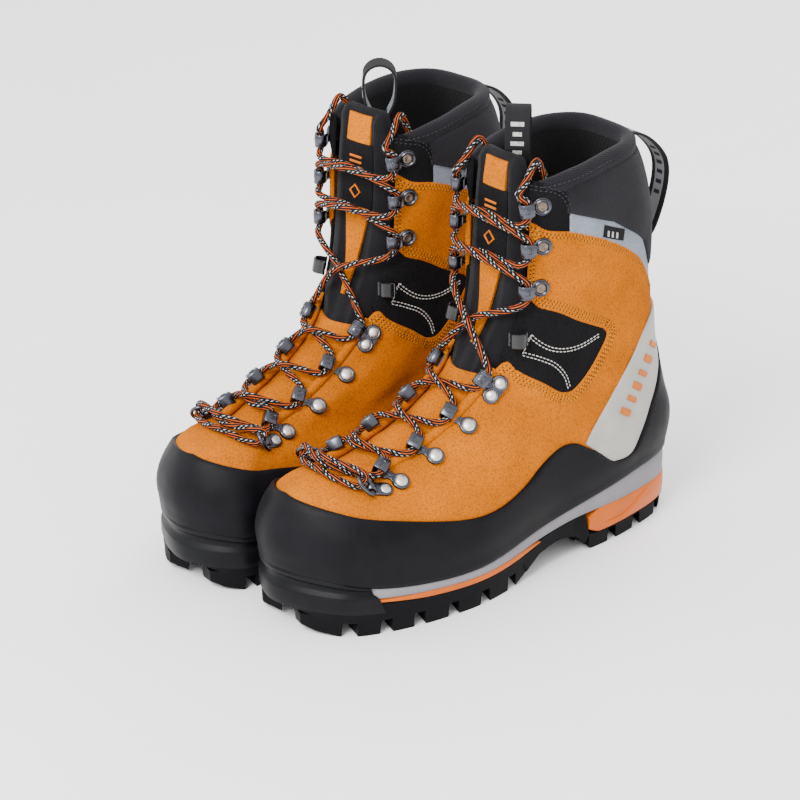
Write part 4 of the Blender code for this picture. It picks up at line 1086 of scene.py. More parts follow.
BOW_LOW = ((3.9, .694), (3.4, .690), (2.8, .702), (2.25, .728), (1.99, .742))
BOW_HIGH = ((1.96, .704), (2.4, .690), (2.9, .662), (3.3, .622), (3.58, .578))
FLAP_SEAM = ((2.86, .952), (2.68, .985), (2.3, 1.008), (1.6, 1.018), (1.1, 1.021))
TRIM_SEAM = ((2.95, .948), (3.1, .946), (4.08, .918), (5.25, .855), (5.8, .79), (6.9, .745))
TRIPLE, DOUBLE = (2.4, 4.4, 6.4), (2.2, 4.2)


def make_seams():
    """Rows of stitches, with needle holes between them whose dark colour is painted shade."""
    rows = []
    for edge, distances in ((BAND_FOOT, TRIPLE), (QUARTER_TOP, TRIPLE), (FLEX_REAR, TRIPLE),
                            (BAND_TOP[:-1], DOUBLE), (BAND_FRONT, DOUBLE), (QUARTER_TAB, DOUBLE)):
        rows += rows_beside(edge, *distances)
    rows = both_hands(rows)
    place_piece("orange_stitching", sew(rows, .12), "orange_thread")
    # the dark needle holes are painted shade
    place_piece("needle_holes", pierce(rows, .05), "painted_hole_shade")
    bow = []
    for shift in (0, 2.0):
        low, high = sideways(run(*BOW_LOW), shift), sideways(run(*BOW_HIGH), shift)
        bow += [low, high, run(low[-1], high[0])]
    place_piece("white_stitching", sew(both_hands(bow), -.55, 2.7, 2.0, .42), "white_thread")
    flap = sew(both_hands(rows_beside(FLAP_SEAM, -2.4, -4.6)), 1.15, 3.0, 1.9, .45)
    place_piece("black_stitching", flap, "black_thread")
    collar = sew(both_hands([run((1.75, 1.009), (7, 1.009))]), 1.45, 3.2, 2.1, .5)
    place_piece("collar_stitching", collar, "black_thread")
    trim = sew(both_hands(rows_beside(TRIM_SEAM, 2.0)), -.25, 2.4, 1.6, .3)
    place_piece("trim_stitching", trim, "trim")


# ---------------------------------------------------------------- metal hardware
TUNNEL_REACH = 14.0
BARREL_X, BARREL_Z = -8.5, 3.3
SEAT_LIFT = 0.35             # the hardware's feet above the leather


def seat(place, side, turn=0.0):
    """A frame on the skin: x outwards across the boot, y up along it, z out of the leather.

    A turn in radians brings x round towards the toe.
    """
    point, normal, along, up = (a[0] for a in skin_frame(side * place[0], place[1]))
    along = along * side
    matrix = np.eye(4)
    matrix[:3, 0] = along * math.cos(turn) - up * math.sin(turn)
    matrix[:3, 1] = up * math.cos(turn) + along * math.sin(turn)
    matrix[:3, 2] = normal
    matrix[:3, 3] = point + normal * SEAT_LIFT
    return matrix


def rivets_of(places, shift):
    """The rivets' places, further out than the lace's line."""
    return [(s + shift, t) for s, t in places]


def moved_places(places, steps):
    """The eyelets' places, each a little lower and further out than in part.py."""
    return [(s + ds, t + dt) for (s, t), (ds, dt) in zip(places, steps)]


EYELET_STEPS = ((.12, -.017), (.14, -.009), (.10, -.002), (.0, .004))
EYELET_RIVETS = (rivets_of([D_RING_AT], D_RING_SHIFT)
                 + rivets_of(moved_places([*TUNNELS_AT, LOCK_AT], EYELET_STEPS), EYELET_SHIFT))
CUFF_RIVETS = rivets_of(CUFF_HOOKS_AT, CUFF_SHIFT)
EYELET_TURN = math.radians(36)
CHORD_LIFT = 0.7             # the leather bulges between a tunnel and its rivet


def turned_rivet(place):
    """The place of an eyelet's rivet once the eyelet is turned about its tunnel towards the toe."""
    around, upward = (np.linalg.norm(a[0]) for a in partials(*place))
    return (place[0] - TUNNEL_REACH * (1 - math.cos(EYELET_TURN)) / around,
            place[1] - TUNNEL_REACH * math.sin(EYELET_TURN) / upward)


def skin_near(target, s, t):
    """The skin's point nearest to a target, and its normal there, found from a first guess of s and t."""
    for _ in range(5):
        slopes = np.stack([np.ravel(a) for a in partials(s, t)], 1)
        step = np.linalg.lstsq(slopes, target - np.ravel(skin(s, t)), rcond=None)[0]
        s, t = s + step[0], t + step[1]
    return tuple(a[0] for a in skin_frame(s, t)[:2])


def eyelet_seat(place, hand):
    """The frame of a turned eyelet: its x axis is the chord from its tunnel to its rivet."""
    matrix = seat(turned_rivet(place), hand, EYELET_TURN)
    box, normal = skin_near(matrix[:3, 3] - matrix[:3, 0] * TUNNEL_REACH, hand * place[0], place[1])
    chord = unit(matrix[:3, 3] - matrix[:3, 2] * SEAT_LIFT - box)
    middle = matrix[:3, 2] + normal
    out = unit(middle - chord * np.dot(middle, chord))
    handed = np.sign(np.dot(np.cross(out, chord), matrix[:3, 1]))
    matrix[:3, 3] += out * CHORD_LIFT
    matrix[:3, 0], matrix[:3, 1], matrix[:3, 2] = chord, np.cross(out, chord) * handed, out
    return matrix


def slid(shape, x=0.0, y=0.0, z=0.0):
    """A shape moved in its own frame."""
    return shape.moved(Matrix.Translation((x, y, z)))


def domed_rivet(radius=4.1, rise=1.9):
    """A bright domed head."""
    angles = np.linspace(0, math.pi / 2, 7)
    dome = [(radius * math.cos(a), 1.15 + rise * math.sin(a)) for a in angles[:-1]]
    return lathe([(.05, .2), (radius - .3, .2), (radius, .7)] + dome + [(.05, 1.15 + rise)], 28)


def washer(radius=5.5):
    """The dark pressed ring round a rivet's head."""
    return lathe([(.05, -.6), (radius, -.6), (radius, .7), (radius - .25, 1.15), (radius - .9, 1.35),
                  (radius - 1.5, 1.15), (radius - 1.9, .8), (.05, .8)], 28)


def hollow_rivet(radius=4.9):
    """A rolled ring round a sunk core: the ring and the core."""
    ring = lathe([(.05, .1), (radius, .1), (radius + .2, .9), (radius - .1, 1.7), (radius - .8, 2.1),
                  (radius - 1.5, 1.8), (radius - 1.8, 1.0), (.05, .9)], 28)
    core = lathe([(.05, .5), (radius - 1.75, .5), (radius - 1.75, 1.25), (radius - 2.3, 1.55),
                  (radius - 3.2, 1.35), (.05, 1.2)], 24)
    return ring, core


def neck(reach, narrow, wide, radius, low=-.4, high=1.0):
    """The plate under a rivet, with a neck that widens towards its far end."""
    ring = arc((0, 0), radius, -140, 140, 22)
    side = np.array([(-radius - .6, narrow), (-reach + 3.2, narrow), (-reach + 2.2, wide),
                     (-reach - 2, wide)])
    return plate(np.vstack([ring, side, side[::-1] * (1, -1)]), low, high, .3)


def tunnel_box():
    """The folded box that the lace runs through, along y, with a small pressed mark on its top."""
    outer, inner = box_ring(8.4, 8.2, 1.5, 5), box_ring(6.0, 5.8, 1.4, 5)
    count = len(outer)
    levels = ((outer, -4.1), (outer, 4.1), (outer * .93, 4.5), (inner, 4.5), (inner, -4.5),
              (outer * .93, -4.5))
    rings = [np.column_stack([ring[:, 0], np.full(count, y), ring[:, 1]]) for ring, y in levels]
    shape = loft(np.stack(rings), closed=True)
    shape.faces = [face[::-1] for face in shape.faces]
    mark = [pipe(np.column_stack([box_ring(3.2, 3.2, .6, 3), np.full(12, 4.2)]), .28, 6, closed=True)]
    mark.append(slid(lathe([(.05, 3.9), (.55, 3.9), (.55, 4.35), (.05, 4.4)], 8)))
    return slid(joined([shape] + mark), -TUNNEL_REACH, 0, 4.5)


def tunnel():
    """A lace tunnel with its plate and rivet: the dark parts and the bright ones."""
    ridge = slid(plate(box_ring(3.6, 2.6, .6, 3), .9, 1.6, .3), -8.2)
    return [neck(TUNNEL_REACH - 2.6, 2.5, 3.9, 5.3), tunnel_box(), washer(), ridge], [domed_rivet()]


def hook_plate(reach, height, width=8.6):
    """A hook's bent head: it rises at its end and turns back over the lace."""
    path = curve_through([(-3.0, 0, .3), (-6.0, 0, .4), (-reach * .78, 0, .7), (-reach - .6, 0, 1.5),
                          (-reach - 2.0, 0, height * .45), (-reach - 1.6, 0, height * .82),
                          (-reach + .4, 0, height), (-reach + 4.2, 0, height - .3),
                          (-reach + 6.4, 0, height - 1.3)], 5)
    part = lengths(path) / lengths(path)[-1]
    widths = np.interp(part, (0, .18, .32, .9, 1), (4.6, 4.8, width, width, width - 1.8))
    head = strip(path, (0, 1, 0), widths, 1.35, .45)
    rims = []
    for y in (-1, 1):
        rim = [(x, y * (w / 2 - .55), z + .15) for (x, _, z), w, f in zip(path, widths, part) if f > .45]
        rims.append(pipe(rim, .62, 8))
    mark = slid(pipe(np.column_stack([box_ring(2.8, 2.8, .6, 3), np.zeros(12)]), .25, 6, closed=True),
                -reach + 2.2, 0, height + .75)
    return [head, mark] + rims


def cuff_hook():
    """A cuff hook: its steel and its rivet's core."""
    ring, core = hollow_rivet()
    return [neck(9.0, 2.3, 2.6, 5.6)] + hook_plate(12.0, 7.2) + [ring], [core]


def lock_hook():
    """The locking hook: a slotted head on a base with two rivets."""
    parts = [slid(washer(5.0), -.3, y, 0) for y in (4.5, -4.5)]
    outline = np.vstack([arc((-.3, 4.5), 5.2, -20, 150, 12),
                         [(-6.0, 3.4), (-11.5, 3.9), (-11.5, -3.9), (-6.0, -3.4)],
                         arc((-.3, -4.5), 5.2, 210, 380, 12)])
    parts += [plate(outline, -.4, .9, .3)] + hook_plate(12.0, 7.4, 9.6)
    parts += [slid(plate(box_ring(5.0, 1.2, .4, 3), 7.6, 8.5, .2), -10.0, y) for y in (-3.0, 0, 3.0)]
    return parts, [slid(domed_rivet(3.4, 1.5), -.3, y) for y in (4.5, -4.5)]


def d_ring_clip():
    """The folded clip: its barrel round the ring's bar, a broad tongue and a pressed dome."""
    outline = np.vstack([arc((1.2, 0), 4.6, -88, 88, 14), [(-6.4, 4.3), (-6.4, -4.3)]])
    path = curve_through([(-5.6, 0, 1.3), (-7.4, 0, 4.9), (-9.0, 0, 5.7), (-10.8, 0, 4.6),
                          (-11.2, 0, 3.0), (-10.2, 0, 1.4), (-8.0, 0, .6), (-4.0, 0, .3)], 5)
    barrel = strip(path, (0, 1, 0), 7.6, 1.1, .35)
    dome = [(3.3 * math.cos(a), 1.2 + math.sin(a)) for a in np.linspace(0, math.pi / 2, 6)[:-1]]
    dome = slid(lathe([(.05, .9)] + dome + [(.05, 2.2)], 22), 1.2)
    ridge = slid(plate(box_ring(1.3, 7.4, .4, 3), 1.1, 1.75, .25), -3.9)
    return [plate(outline, -.4, 1.3, .4), barrel, ridge], [dome]


def make_hardware():
    """All the metal of both sides but the D-rings' wire, in four pieces by its finish."""
    steel, silver, cuff_steel, core = [], [], [], []
    for hand in (1, -1):
        kinds = [d_ring_clip] + [tunnel] * 3 + [lock_hook]
        for place, kind in zip(EYELET_RIVETS, kinds):
            dark, bright = kind()
            spot = seat(place, hand) if kind is d_ring_clip else eyelet_seat(place, hand)
            steel += [part.moved(spot) for part in dark]
            silver += [part.moved(spot) for part in bright]
        for place in CUFF_RIVETS:
            dark, bright = cuff_hook()
            cuff_steel += [part.moved(seat(place, hand)) for part in dark]
            core += [part.moved(seat(place, hand)) for part in bright]
    place_piece("eyelet_hardware", joined(steel), "steel", corner=50,
                nodes=("eyelet_row_lateral", "eyelet_row_medial"))
    place_piece("cuff_hardware", joined(cuff_steel), "steel", corner=50,
                nodes=("cuff_hook_row_lateral", "cuff_hook_row_medial"))
    place_piece("rivet_heads", joined(silver), "silver", corner=50)
    place_piece("rivet_cores", joined(core), "bronze", corner=50)


D_RING_REACH = 11.0
D_RING_TILT = math.radians(35)


def on_d_ring(u, y, w=0.0):
    """A point in the tilted D-ring's own plane: u out from the barrel, w up out of the plane."""
    cos, sin = math.cos(D_RING_TILT), math.sin(D_RING_TILT)
    return (BARREL_X - u * cos + w * sin, y, BARREL_Z + u * sin + w * cos)


def at(place, hand, x, y, z):
    """A point in the frame of a piece of hardware."""
    spot = eyelet_seat(place, hand) if place in EYELET_RIVETS[1:] else seat(place, hand)
    return (spot @ (x, y, z, 1))[:3]


def make_d_rings():
    """The D-rings' wire, each a piece of its own that turns in its clip."""
    bow = [on_d_ring(D_RING_REACH * math.sin(a), -7.0 * math.cos(a)) for a in np.linspace(0, math.pi, 9)]
    path = np.vstack([curve_through(bow, 4), [on_d_ring(0, y) for y in (4.5, 1.5, -1.5, -4.5)]])
    for hand, word in ((1, "lateral"), (-1, "medial")):
        shape = pipe(path, 1.2, 12, closed=True).moved(seat(EYELET_RIVETS[0], hand))
        place_piece("d_ring_wire_" + word, shape, "steel", "d_ring_" + word, ("d_ring_" + word,))


# ---------------------------------------------------------------- the lace
LACE_RADIUS = 2.2
CROSSING_LIFT, CROSSING_SPREAD = 8.0, 2.6
HOOK_ROUTE = ((-14.5, -9.5), (-9.0, -4.8), (-9.0, 4.8), (-14.5, 9.5))
TAIL = ((1.0, 1.02, 3.5), (1.3, 1.055, -3.5), (1.9, 1.03, -10), (2.5, .96, -11.8), (2.9, .89, -11.8))
RING_ROUTE = ((7.2, -1.5, -3.6), (6.8, 0, 0), (8.4, 1.8, 3.4))
BAR_ROUTE = ((-.42, .377), (0, .388), (.42, .377))
BAR_LIFT = 3.9
LACE_IN_TUNNEL, LACE_IN_HOOK = 4.5, 4.2


def on_skin(s, t, offset):
    """One point over the last."""
    return shell(s, t, offset)[0]


def crossing(low, high, over):
    """Over the tongue's middle, where the two ends of the lace cross."""
    spread = CROSSING_SPREAD if over else -CROSSING_SPREAD
    return on_skin(0.0, (low[1] + high[1]) / 2 + .012, CROSSING_LIFT + spread)


def lace_half(hand, over):
    """One end of the lace, from its D-ring up through the hardware into the boot."""
    route, low = [], EYELET_RIVETS[0]
    for i, place in enumerate((*EYELET_RIVETS[1:], *CUFF_RIVETS)):
        hand = -hand
        route.append(crossing(low, place, (i % 2 == 0) == over))
        if i < len(TUNNELS_AT):
            route += [at(place, hand, -TUNNEL_REACH, y, LACE_IN_TUNNEL) for y in (-7.0, 6.5)]
        else:
            route += [at(place, hand, x, y, LACE_IN_HOOK) for x, y in HOOK_ROUTE]
        low = place
    return route + [on_skin(hand * s, t, offset) for s, t, offset in TAIL]


def ring_pass(hand):
    """The lace comes up through a D-ring from under it."""
    return [(seat(EYELET_RIVETS[0], hand) @ (*on_d_ring(*spot), 1))[:3] for spot in RING_ROUTE]


def make_lace():
    """The lace in one piece, from one end inside the boot to the other."""
    bar = [on_skin(s, t, BAR_LIFT) for s, t in BAR_ROUTE]
    front = ring_pass(-1)[::-1] + bar + ring_pass(1)
    route = np.array(lace_half(-1, False)[::-1] + front + lace_half(1, True))
    braid = pipe(even(curve_through(route, 8), 1.3), LACE_RADIUS, 14, squeeze=.92)
    place_piece("lace_braid", braid, "lace", nodes=("lace",), corner=80)


# ---------------------------------------------------------------- webbing
TONGUE_LOOP_AT = np.array((0.0, -119.5, 252.0))
TONGUE_LOOP_HEIGHT = 38.0
TONGUE_LOOP_TURN = math.radians(-45)
LOOP_WIDTH = 15.0
LOOP_THICKNESS = 1.5


def short_piece(path, total, place, half):
    """Three points of a path about a running length."""
    return at_length(path, total, place + np.array([-half, 0, half]))


def make_tongue_loop():
    """The tongue's pull loop, with a grey face and a few plain bars woven into it."""
    cos, sin = math.cos(TONGUE_LOOP_TURN), math.sin(TONGUE_LOOP_TURN)
    direction, across = np.array((cos, sin, 0)), np.array((-sin, cos, 0))
    bend = [(10 * math.cos(a), TONGUE_LOOP_HEIGHT - 10 + 10 * math.sin(a))
            for a in np.linspace(0, math.pi, 7)]
    flat = [(1.6, -1), (5.6, 6), (9.0, 14)] + bend + [(-9.0, 14), (-5.6, 6), (-1.6, -1)]
    path = curve_through([TONGUE_LOOP_AT + direction * u + np.array((0, 0, w)) for u, w in flat], 6)
    loop = strip(path, across, LOOP_WIDTH, LOOP_THICKNESS, .4)
    place_piece("tongue_loop_web", loop, "webbing", "tongue_loop", ("tongue_loop",))
    inner = path[6:-6]
    inner = inner + unit(np.cross(across, along_path(inner))) * -.8
    face = strip(inner, across, LOOP_WIDTH - 2.4, .3, .1)
    place_piece("tongue_loop_face", face, "webbing_face", "tongue_loop")
    marks = []
    total = lengths(path)
    for k in range(5):
        spot = short_piece(path, total, total[-1] * (.09 + .065 * k), 1.3)
        out = unit(np.cross(across, spot[2] - spot[0]))
        marks.append(strip(spot + out * .85, across, 5.5 if k % 2 else 8.0, .35, .12))
    place_piece("tongue_loop_marks", joined(marks), "white_thread", "tongue_loop")


REAR_LOOP_TOP = ((-.5, -5), (0, 0), (9, 1.5), (24, -7), (36, -22), (37, -38))
REAR_LOOP_FOOT = ((13, 6), (3, -2), (1.5, -12))
REAR_LOOP_ANCHOR = ((6.72, .70), (7.28, .70), (7.28, .795), (6.72, .795))


def make_rear_loop():
    """The pull loop behind the collar, with a grey band, a few plain bars and a patch at its foot."""
    route = []
    for base, steps in ((on_skin(7, .985, 3.5), REAR_LOOP_TOP), (on_skin(7, .80, 3.3), REAR_LOOP_FOOT)):
        route += [(0, base[1] + y, base[2] + z) for y, z in steps]
    path = curve_through(route, 7)
    loop = strip(path, (1, 0, 0), LOOP_WIDTH, LOOP_THICKNESS, .4)
    place_piece("rear_loop_web", loop, "webbing_grey", nodes=("rear_loop",))
    total = lengths(path)
    marks = []
    for k in range(6):
        spot = short_piece(path, total, total[-1] * (.34 + .055 * k), 1.2)
        for sign in (1, -1):
            out = unit(np.cross((1, 0, 0), spot[2] - spot[0])) * sign
            marks.append(strip(spot + out * .85, (1, 0, 0), 4.6, .3, .1))
    place_piece("rear_loop_marks", joined(marks), "black_thread")
    anchor = panel(polygon(*REAR_LOOP_ANCHOR), 3.0, .4, edge=.7, step=3)
    place_piece("rear_loop_anchor", anchor, "webbing")


KEEPER_AT = (1.42, .735)
KEEPER_ARCH = ((-5.4, .2), (-4.4, 1.0), (-4.1, 4.0), (-3.2, 6.4), (0, 7.4), (3.2, 6.4), (4.1, 4.0),
               (4.4, 1.0), (5.4, .2))


def make_keepers():
    """The small lace keeper on each flex panel: a glossy bridge."""
    bridges = []
    for hand in (1, -1):
        path = [at(KEEPER_AT, hand, x, 0, z) for x, z in KEEPER_ARCH]
        across = seat(KEEPER_AT, hand)[:3, 1]
        bridges.append(strip(curve_through(path, 4), across, 9.0, 1.4, .5))
    place_piece("lace_keeper", joined(bridges), "nylon",
                nodes=("ankle_loop_lateral", "ankle_loop_medial"))


# ---------------------------------------------------------------- the sole
FEATHER = skin(np.linspace(-7, 7, 561)[:-1], 0.0)
FEATHER_ALONG = along_path(FEATHER, True)
FEATHER_OUT = unit(np.column_stack([-FEATHER_ALONG[:, 1], FEATHER_ALONG[:, 0], np.zeros(len(FEATHER))]))
FEATHER_OUT *= -1 if np.sum(FEATHER_OUT * (FEATHER - FEATHER.mean(0))) < 0 else 1
FEATHER_S = np.linspace(-7, 7, 561)
MIDSOLE_FOOT = ((-303, 26), (-283, 25), (-262, 24), (-230, 21.8), (-197, 20.5), (-165, 20.8), (-128, 24),
                (-100, 26.5), (-57, 26), (3, 25))
SOLE_FOOT = ((-303, 9), (-292, 2.5), (-282, 0), (-160, 0), (-148, 6), (-135, 13), (-117, 16), (-100, 13),
             (-93, 2), (-88, 0), (-13, 0), (3, 5))
STRIPE = 3.3
INSERT_FOOT = 10.3
LUG_DEPTH = 10.0


MIDSOLE_CURVE = curve_through(MIDSOLE_FOOT, 10)


def midsole_foot(y):
    """Height of the midsole's foot at a distance from the heel."""
    return np.interp(y, MIDSOLE_CURVE[:, 0], MIDSOLE_CURVE[:, 1])


def sole_foot(y):
    """Height of the tread's foot, which is on the ground but for the toe's spring, the arch and the heel."""
    return np.interp(y, *zip(*SOLE_FOOT))


def rim_at(s, inset):
    """Plan places of the sole's edge, moved in from the upper's feather line."""
    places = [np.interp(s, FEATHER_S, np.append(FEATHER[:, k], FEATHER[0, k])) for k in range(3)]
    outs = [np.interp(s, FEATHER_S, np.append(FEATHER_OUT[:, k], FEATHER_OUT[0, k])) for k in (0, 1)]
    return places[0] - outs[0] * inset, places[1] - outs[1] * inset, places[2]


def sole_band(stations, profile, closed, tuck=0.0, lean=()):
    """A band round the sole: the profile gives an inset and a height for each of its corners.

    A tuck moves the whole band in, and a lean shortens or lengthens the run of each corner.
    """
    rings = []
    for i, (inset, height) in enumerate(profile):
        x, y, feather = rim_at(stations * (lean[i] if lean else 1), inset + tuck)
        rings.append(np.column_stack([x, y, height(y, feather)]))
    return loft(np.stack(rings, 1), closed=closed)


ALL_ROUND = np.linspace(-7, 7, 281)[:-1]


def under_feather(depth):
    """A height so far under the upper's feather line."""
    return lambda y, feather: feather - depth


def over_foot(rise):
    """A height so far over the midsole's foot."""
    return lambda y, feather: midsole_foot(y) + rise


def up_side(part):
    """A height part of the way from the midsole's foot to the feather line."""
    return lambda y, feather: midsole_foot(y) * (1 - part) + feather * part


def make_midsole():
    """The grey midsole, drawn in at the front to make room for the rubber toe."""
    profile = [(14, under_feather(.6)), (1.0, under_feather(.6)), (-WELT + .5, under_feather(.9)),
               (-WELT, under_feather(1.6)), (-WELT - .1, up_side(.5)), (-WELT, over_foot(.8)),
               (-WELT + .5, over_foot(0)), (14, over_foot(0))]
    front = np.clip((1.88 - np.abs(ALL_ROUND)) / .30, 0, 1) * 6.5
    shape = sole_band(ALL_ROUND, profile, True, front)
    place_piece("midsole_foam", outward(shape), "grey_foam", nodes=("midsole",))


def outward(shape):
    """Faces turned so that the solid's volume is positive."""
    volume = 0.0
    for face in shape.faces:
        a = shape.points[face[0]]
        for b, c in zip(face[1:-1], face[2:]):
            volume += np.dot(a, np.cross(shape.points[b], shape.points[c]))
    if volume < 0:
        shape.faces = [face[::-1] for face in shape.faces]
    return shape


def edge_stations(y_low, y_high, hand, count=60):
    """Stations along one side between two distances from the heel."""
    stations = np.linspace(.2, 6.9, 400)
    y = rim_at(hand * stations, -WELT)[1]
    order = np.argsort(y)
    return np.interp(np.linspace(y_low, y_high, count), y[order], stations[order]) * hand


def insert_band(y_low, y_high, hand, high, low, out, taper=8.0):
    """A strip let into the sole's side, which thins to nothing at its front end."""
    stations = edge_stations(y_low, y_high, hand)
    y = rim_at(stations, -WELT)[1]
    thin = np.clip((y - y_low) / taper, .02, 1) ** .6
    thin *= np.clip((y_high - y) / (taper * .5), .02, 1) ** .5
    rings = []
    for inset, f in ((9, 1), (-WELT + .4 - out, 1), (-WELT - out, .85), (-WELT - out, .15),
                     (-WELT + .4 - out, 0), (9, 0)):
        x, yy, _ = rim_at(stations, inset)
        middle = high(y) - (high(y) - low(y)) * .5
        z = middle + (f - .5) * (high(y) - low(y)) * thin
        rings.append(np.column_stack([x, yy, z]))
    return outward(loft(np.stack(rings, 1)))


def stripe_foot(y):
    """Height of the forefoot stripe's lower edge."""
    return midsole_foot(y) - STRIPE


WEDGE_SECTION = ((9, 1), (-WELT + .3, 1), (-WELT - .5, .93), (-WELT - .7, .5), (-WELT - .4, .06),
                 (-WELT + .4, 0), (9, 0))


def make_inserts():
    """The orange stripe along the forefoot, and the orange wedge round the heel with its raised wave."""
    bands = [insert_band(-272, -136, hand, lambda y: midsole_foot(y) + .2, stripe_foot, .35, 40)
             for hand in (1, -1)]
    stripe = joined(bands)
    place_piece("forefoot_stripe", stripe, "orange_foam", nodes=("forefoot_insert",))
    outer = edge_stations(-92, -12, 1, 70)
    stations = np.concatenate([outer, np.linspace(outer[-1], 14 - outer[-1], 34)[1:-1], 14 - outer[::-1]])
    near = np.where(stations > 7, stations - 14, stations)
    y = rim_at(near, -WELT)[1]
    thin = np.clip((y + 92) / 10, .05, 1) ** .6
    rings = []
    for inset, f in WEDGE_SECTION:
        x, yy, _ = rim_at(near, inset)
        high, low = midsole_foot(y) + .2, np.full(len(y), INSERT_FOOT)
        middle = (high + low) / 2
        z = middle + (low + (high - low) * f - middle) * (.35 + .65 * thin)
        rings.append(np.column_stack([x, yy, z]))
    wedge = outward(loft(np.stack(rings, 1)))
    place_piece("heel_wedge", wedge, "orange_foam", nodes=("heel_insert",))
    waves = []
    for hand in (1, -1):
        stations = edge_stations(-80, -30, hand, 40)
        x, y, _ = rim_at(stations, -WELT - .2)
        z = 14.5 + 9.5 / (1 + np.exp(-(y + 46) / 5.0)) - 1.2 * np.exp(-((y + 66) / 10) ** 2)
        taper = np.clip(np.minimum(y + 80, -30 - y) / 9, .1, 1) ** .7
        waves.append(pipe(np.column_stack([x, y, z]), 1.7 * taper, 10))
    place_piece("heel_wave", joined(waves), "orange_foam")


def tread_root(y):
    """Height of the rubber between the lugs."""
    return np.maximum(sole_foot(y) + np.where((y > -150) & (y < -93), 0.0, LUG_DEPTH - 1.0), 0)


def make_outsole():
    """The rubber base layer and, under it, a ring of lugs with chevrons between them."""
    def top(y, f):
        heel = np.clip((y + 95) / 4, 0, 1)
        front = midsole_foot(y) - STRIPE * np.clip((-134 - y) / 6, 0, 1)
        return front * (1 - heel) + (INSERT_FOOT + .2) * heel + .1

    def root(y, f):
        return np.minimum(tread_root(y), top(y, f) - 1.5)

    profile = [(22, top), (-WELT + .6, top), (-WELT, lambda y, f: top(y, f) - .7),
               (-WELT + .3, lambda y, f: root(y, f) + .5), (-WELT + .9, root), (22, root)]
    base = outward(sole_band(ALL_ROUND, profile, True))
    parts = [base, sole_floor(lambda y: root(y, 0) + .3, lambda y: top(y, 0) - .3)]
    place_piece("tread_base", joined(parts), "sole", nodes=("outsole",))
    place_piece("tread_lugs", joined(perimeter_lugs() + middle_lugs()), "sole", corner=30)


def sole_floor(low, high):
    """The flat middle of the sole, from side to side."""
    rows = []
    for y in np.linspace(-270, -20, 90):
        left = x_at(y, -1) + 12
        right = x_at(y, 1) - 12
        a, b = float(low(np.array([y]))[0]), float(high(np.array([y]))[0])
        rows.append([(left, y, b), (left, y, a), (right, y, a), (right, y, b)])
    return outward(loft(np.array(rows)))


def x_at(y, hand):
    """The sole's edge on one side, at a distance from the heel."""
    stations = np.linspace(.2, 6.9, 300) * hand
    x, yy, _ = rim_at(stations, -WELT)
    order = np.argsort(yy)
    return float(np.interp(y, yy[order], x[order]))


FOREFOOT_GROOVES = (-279, -258.5, -237, -213, -188, -163)
HEEL_GROOVES = (-70, -45, -20)
GROOVE = 7.0


TOE_END, HEEL_BREAST = -302, -92     # where the rows of edge lugs start
ARCH_FRONT = -144                    # where the forefoot's lugs end
EDGE_LUG_REACH = (17, 15)            # how far an edge lug runs in, at its two ends
EDGE_LUG_SLANT = 3.0
BACK_LUG_FRONT, BACK_LUG_WIDTH = -19.0, .55
CHEVRON_INSET = 21


def lug(outline, root=tread_root):
    """A tapered block under an outline, from the tread's root down to its foot."""
    outline = anticlockwise(np.asarray(outline, float))
    middle = outline.mean(0)
    top, rim, tip = (middle + (outline - middle) * shrink for shrink in (1.0, .95, .91))
    rings = [np.column_stack([tip, sole_foot(tip[:, 1])]),
             np.column_stack([rim, sole_foot(rim[:, 1]) + .9]),
             np.column_stack([top, root(top[:, 1]) + .8])]
    return outward(loft(rings))


def edge_root(y):
    """The root of the lugs round the edge, which are cut off under the arch."""
    return np.minimum(tread_root(y), 12)


def perimeter_lugs():
    """The lugs round the edge of the forefoot and the heel, and the one across the heel's back."""
    lugs = []
    edges = [TOE_END, *FOREFOOT_GROOVES, ARCH_FRONT]
    heel = [HEEL_BREAST, *HEEL_GROOVES]
    for hand in (1, -1):
        for a, b in list(zip(edges, edges[1:])) + list(zip(heel, heel[1:])):
            low, high = a + {TOE_END: 4, HEEL_BREAST: 1}.get(a, GROOVE / 2), b - GROOVE / 2
            x, y, _ = rim_at(edge_stations(low, high, hand, 14), -WELT + .6)
            inner_x = x - hand * np.linspace(*EDGE_LUG_REACH, len(x))
            inner = np.column_stack([inner_x, y + EDGE_LUG_SLANT])[::-1][2:-2]
            lugs.append(lug(np.vstack([np.column_stack([x, y]), inner]), edge_root))
    stations = np.linspace(edge_stations(-16.5, -16.4, 1, 2)[0], 7, 14)
    stations = np.concatenate([stations, -stations[-2::-1]])
    x, y, _ = rim_at(stations, -WELT + .6)
    inner = np.column_stack([x * BACK_LUG_WIDTH, np.full(len(x), BACK_LUG_FRONT)])[::-1][3:-3]
    lugs.append(lug(np.vstack([np.column_stack([x, y]), inner])))
    return lugs


def middle_lugs():
    """The chevrons down the middle of the forefoot and the heel."""
    lugs = []
    for y in (*range(-276, -150, 20), *range(-84, -24, 18)):
        left, right = x_at(y, -1), x_at(y, 1)
        centre, half = (right + left) / 2, (right - left) / 2 - CHEVRON_INSET
        if half < 5:
            continue
        outline = np.array([(centre - half, y + 3), (centre, y - 4), (centre + half, y + 3),
                            (centre + half, y + 12), (centre, y + 5), (centre - half, y + 12)])
        lugs.append(lug(even(np.vstack([outline, outline[:1]]), 3.0)[:-1]))
    return lugs


TOE_LEAN = (.90, .90, .91, .92, .94, .96, .98, 1.0, 1.02, 1.06, 1.08, 1.08)   # its ends slant back


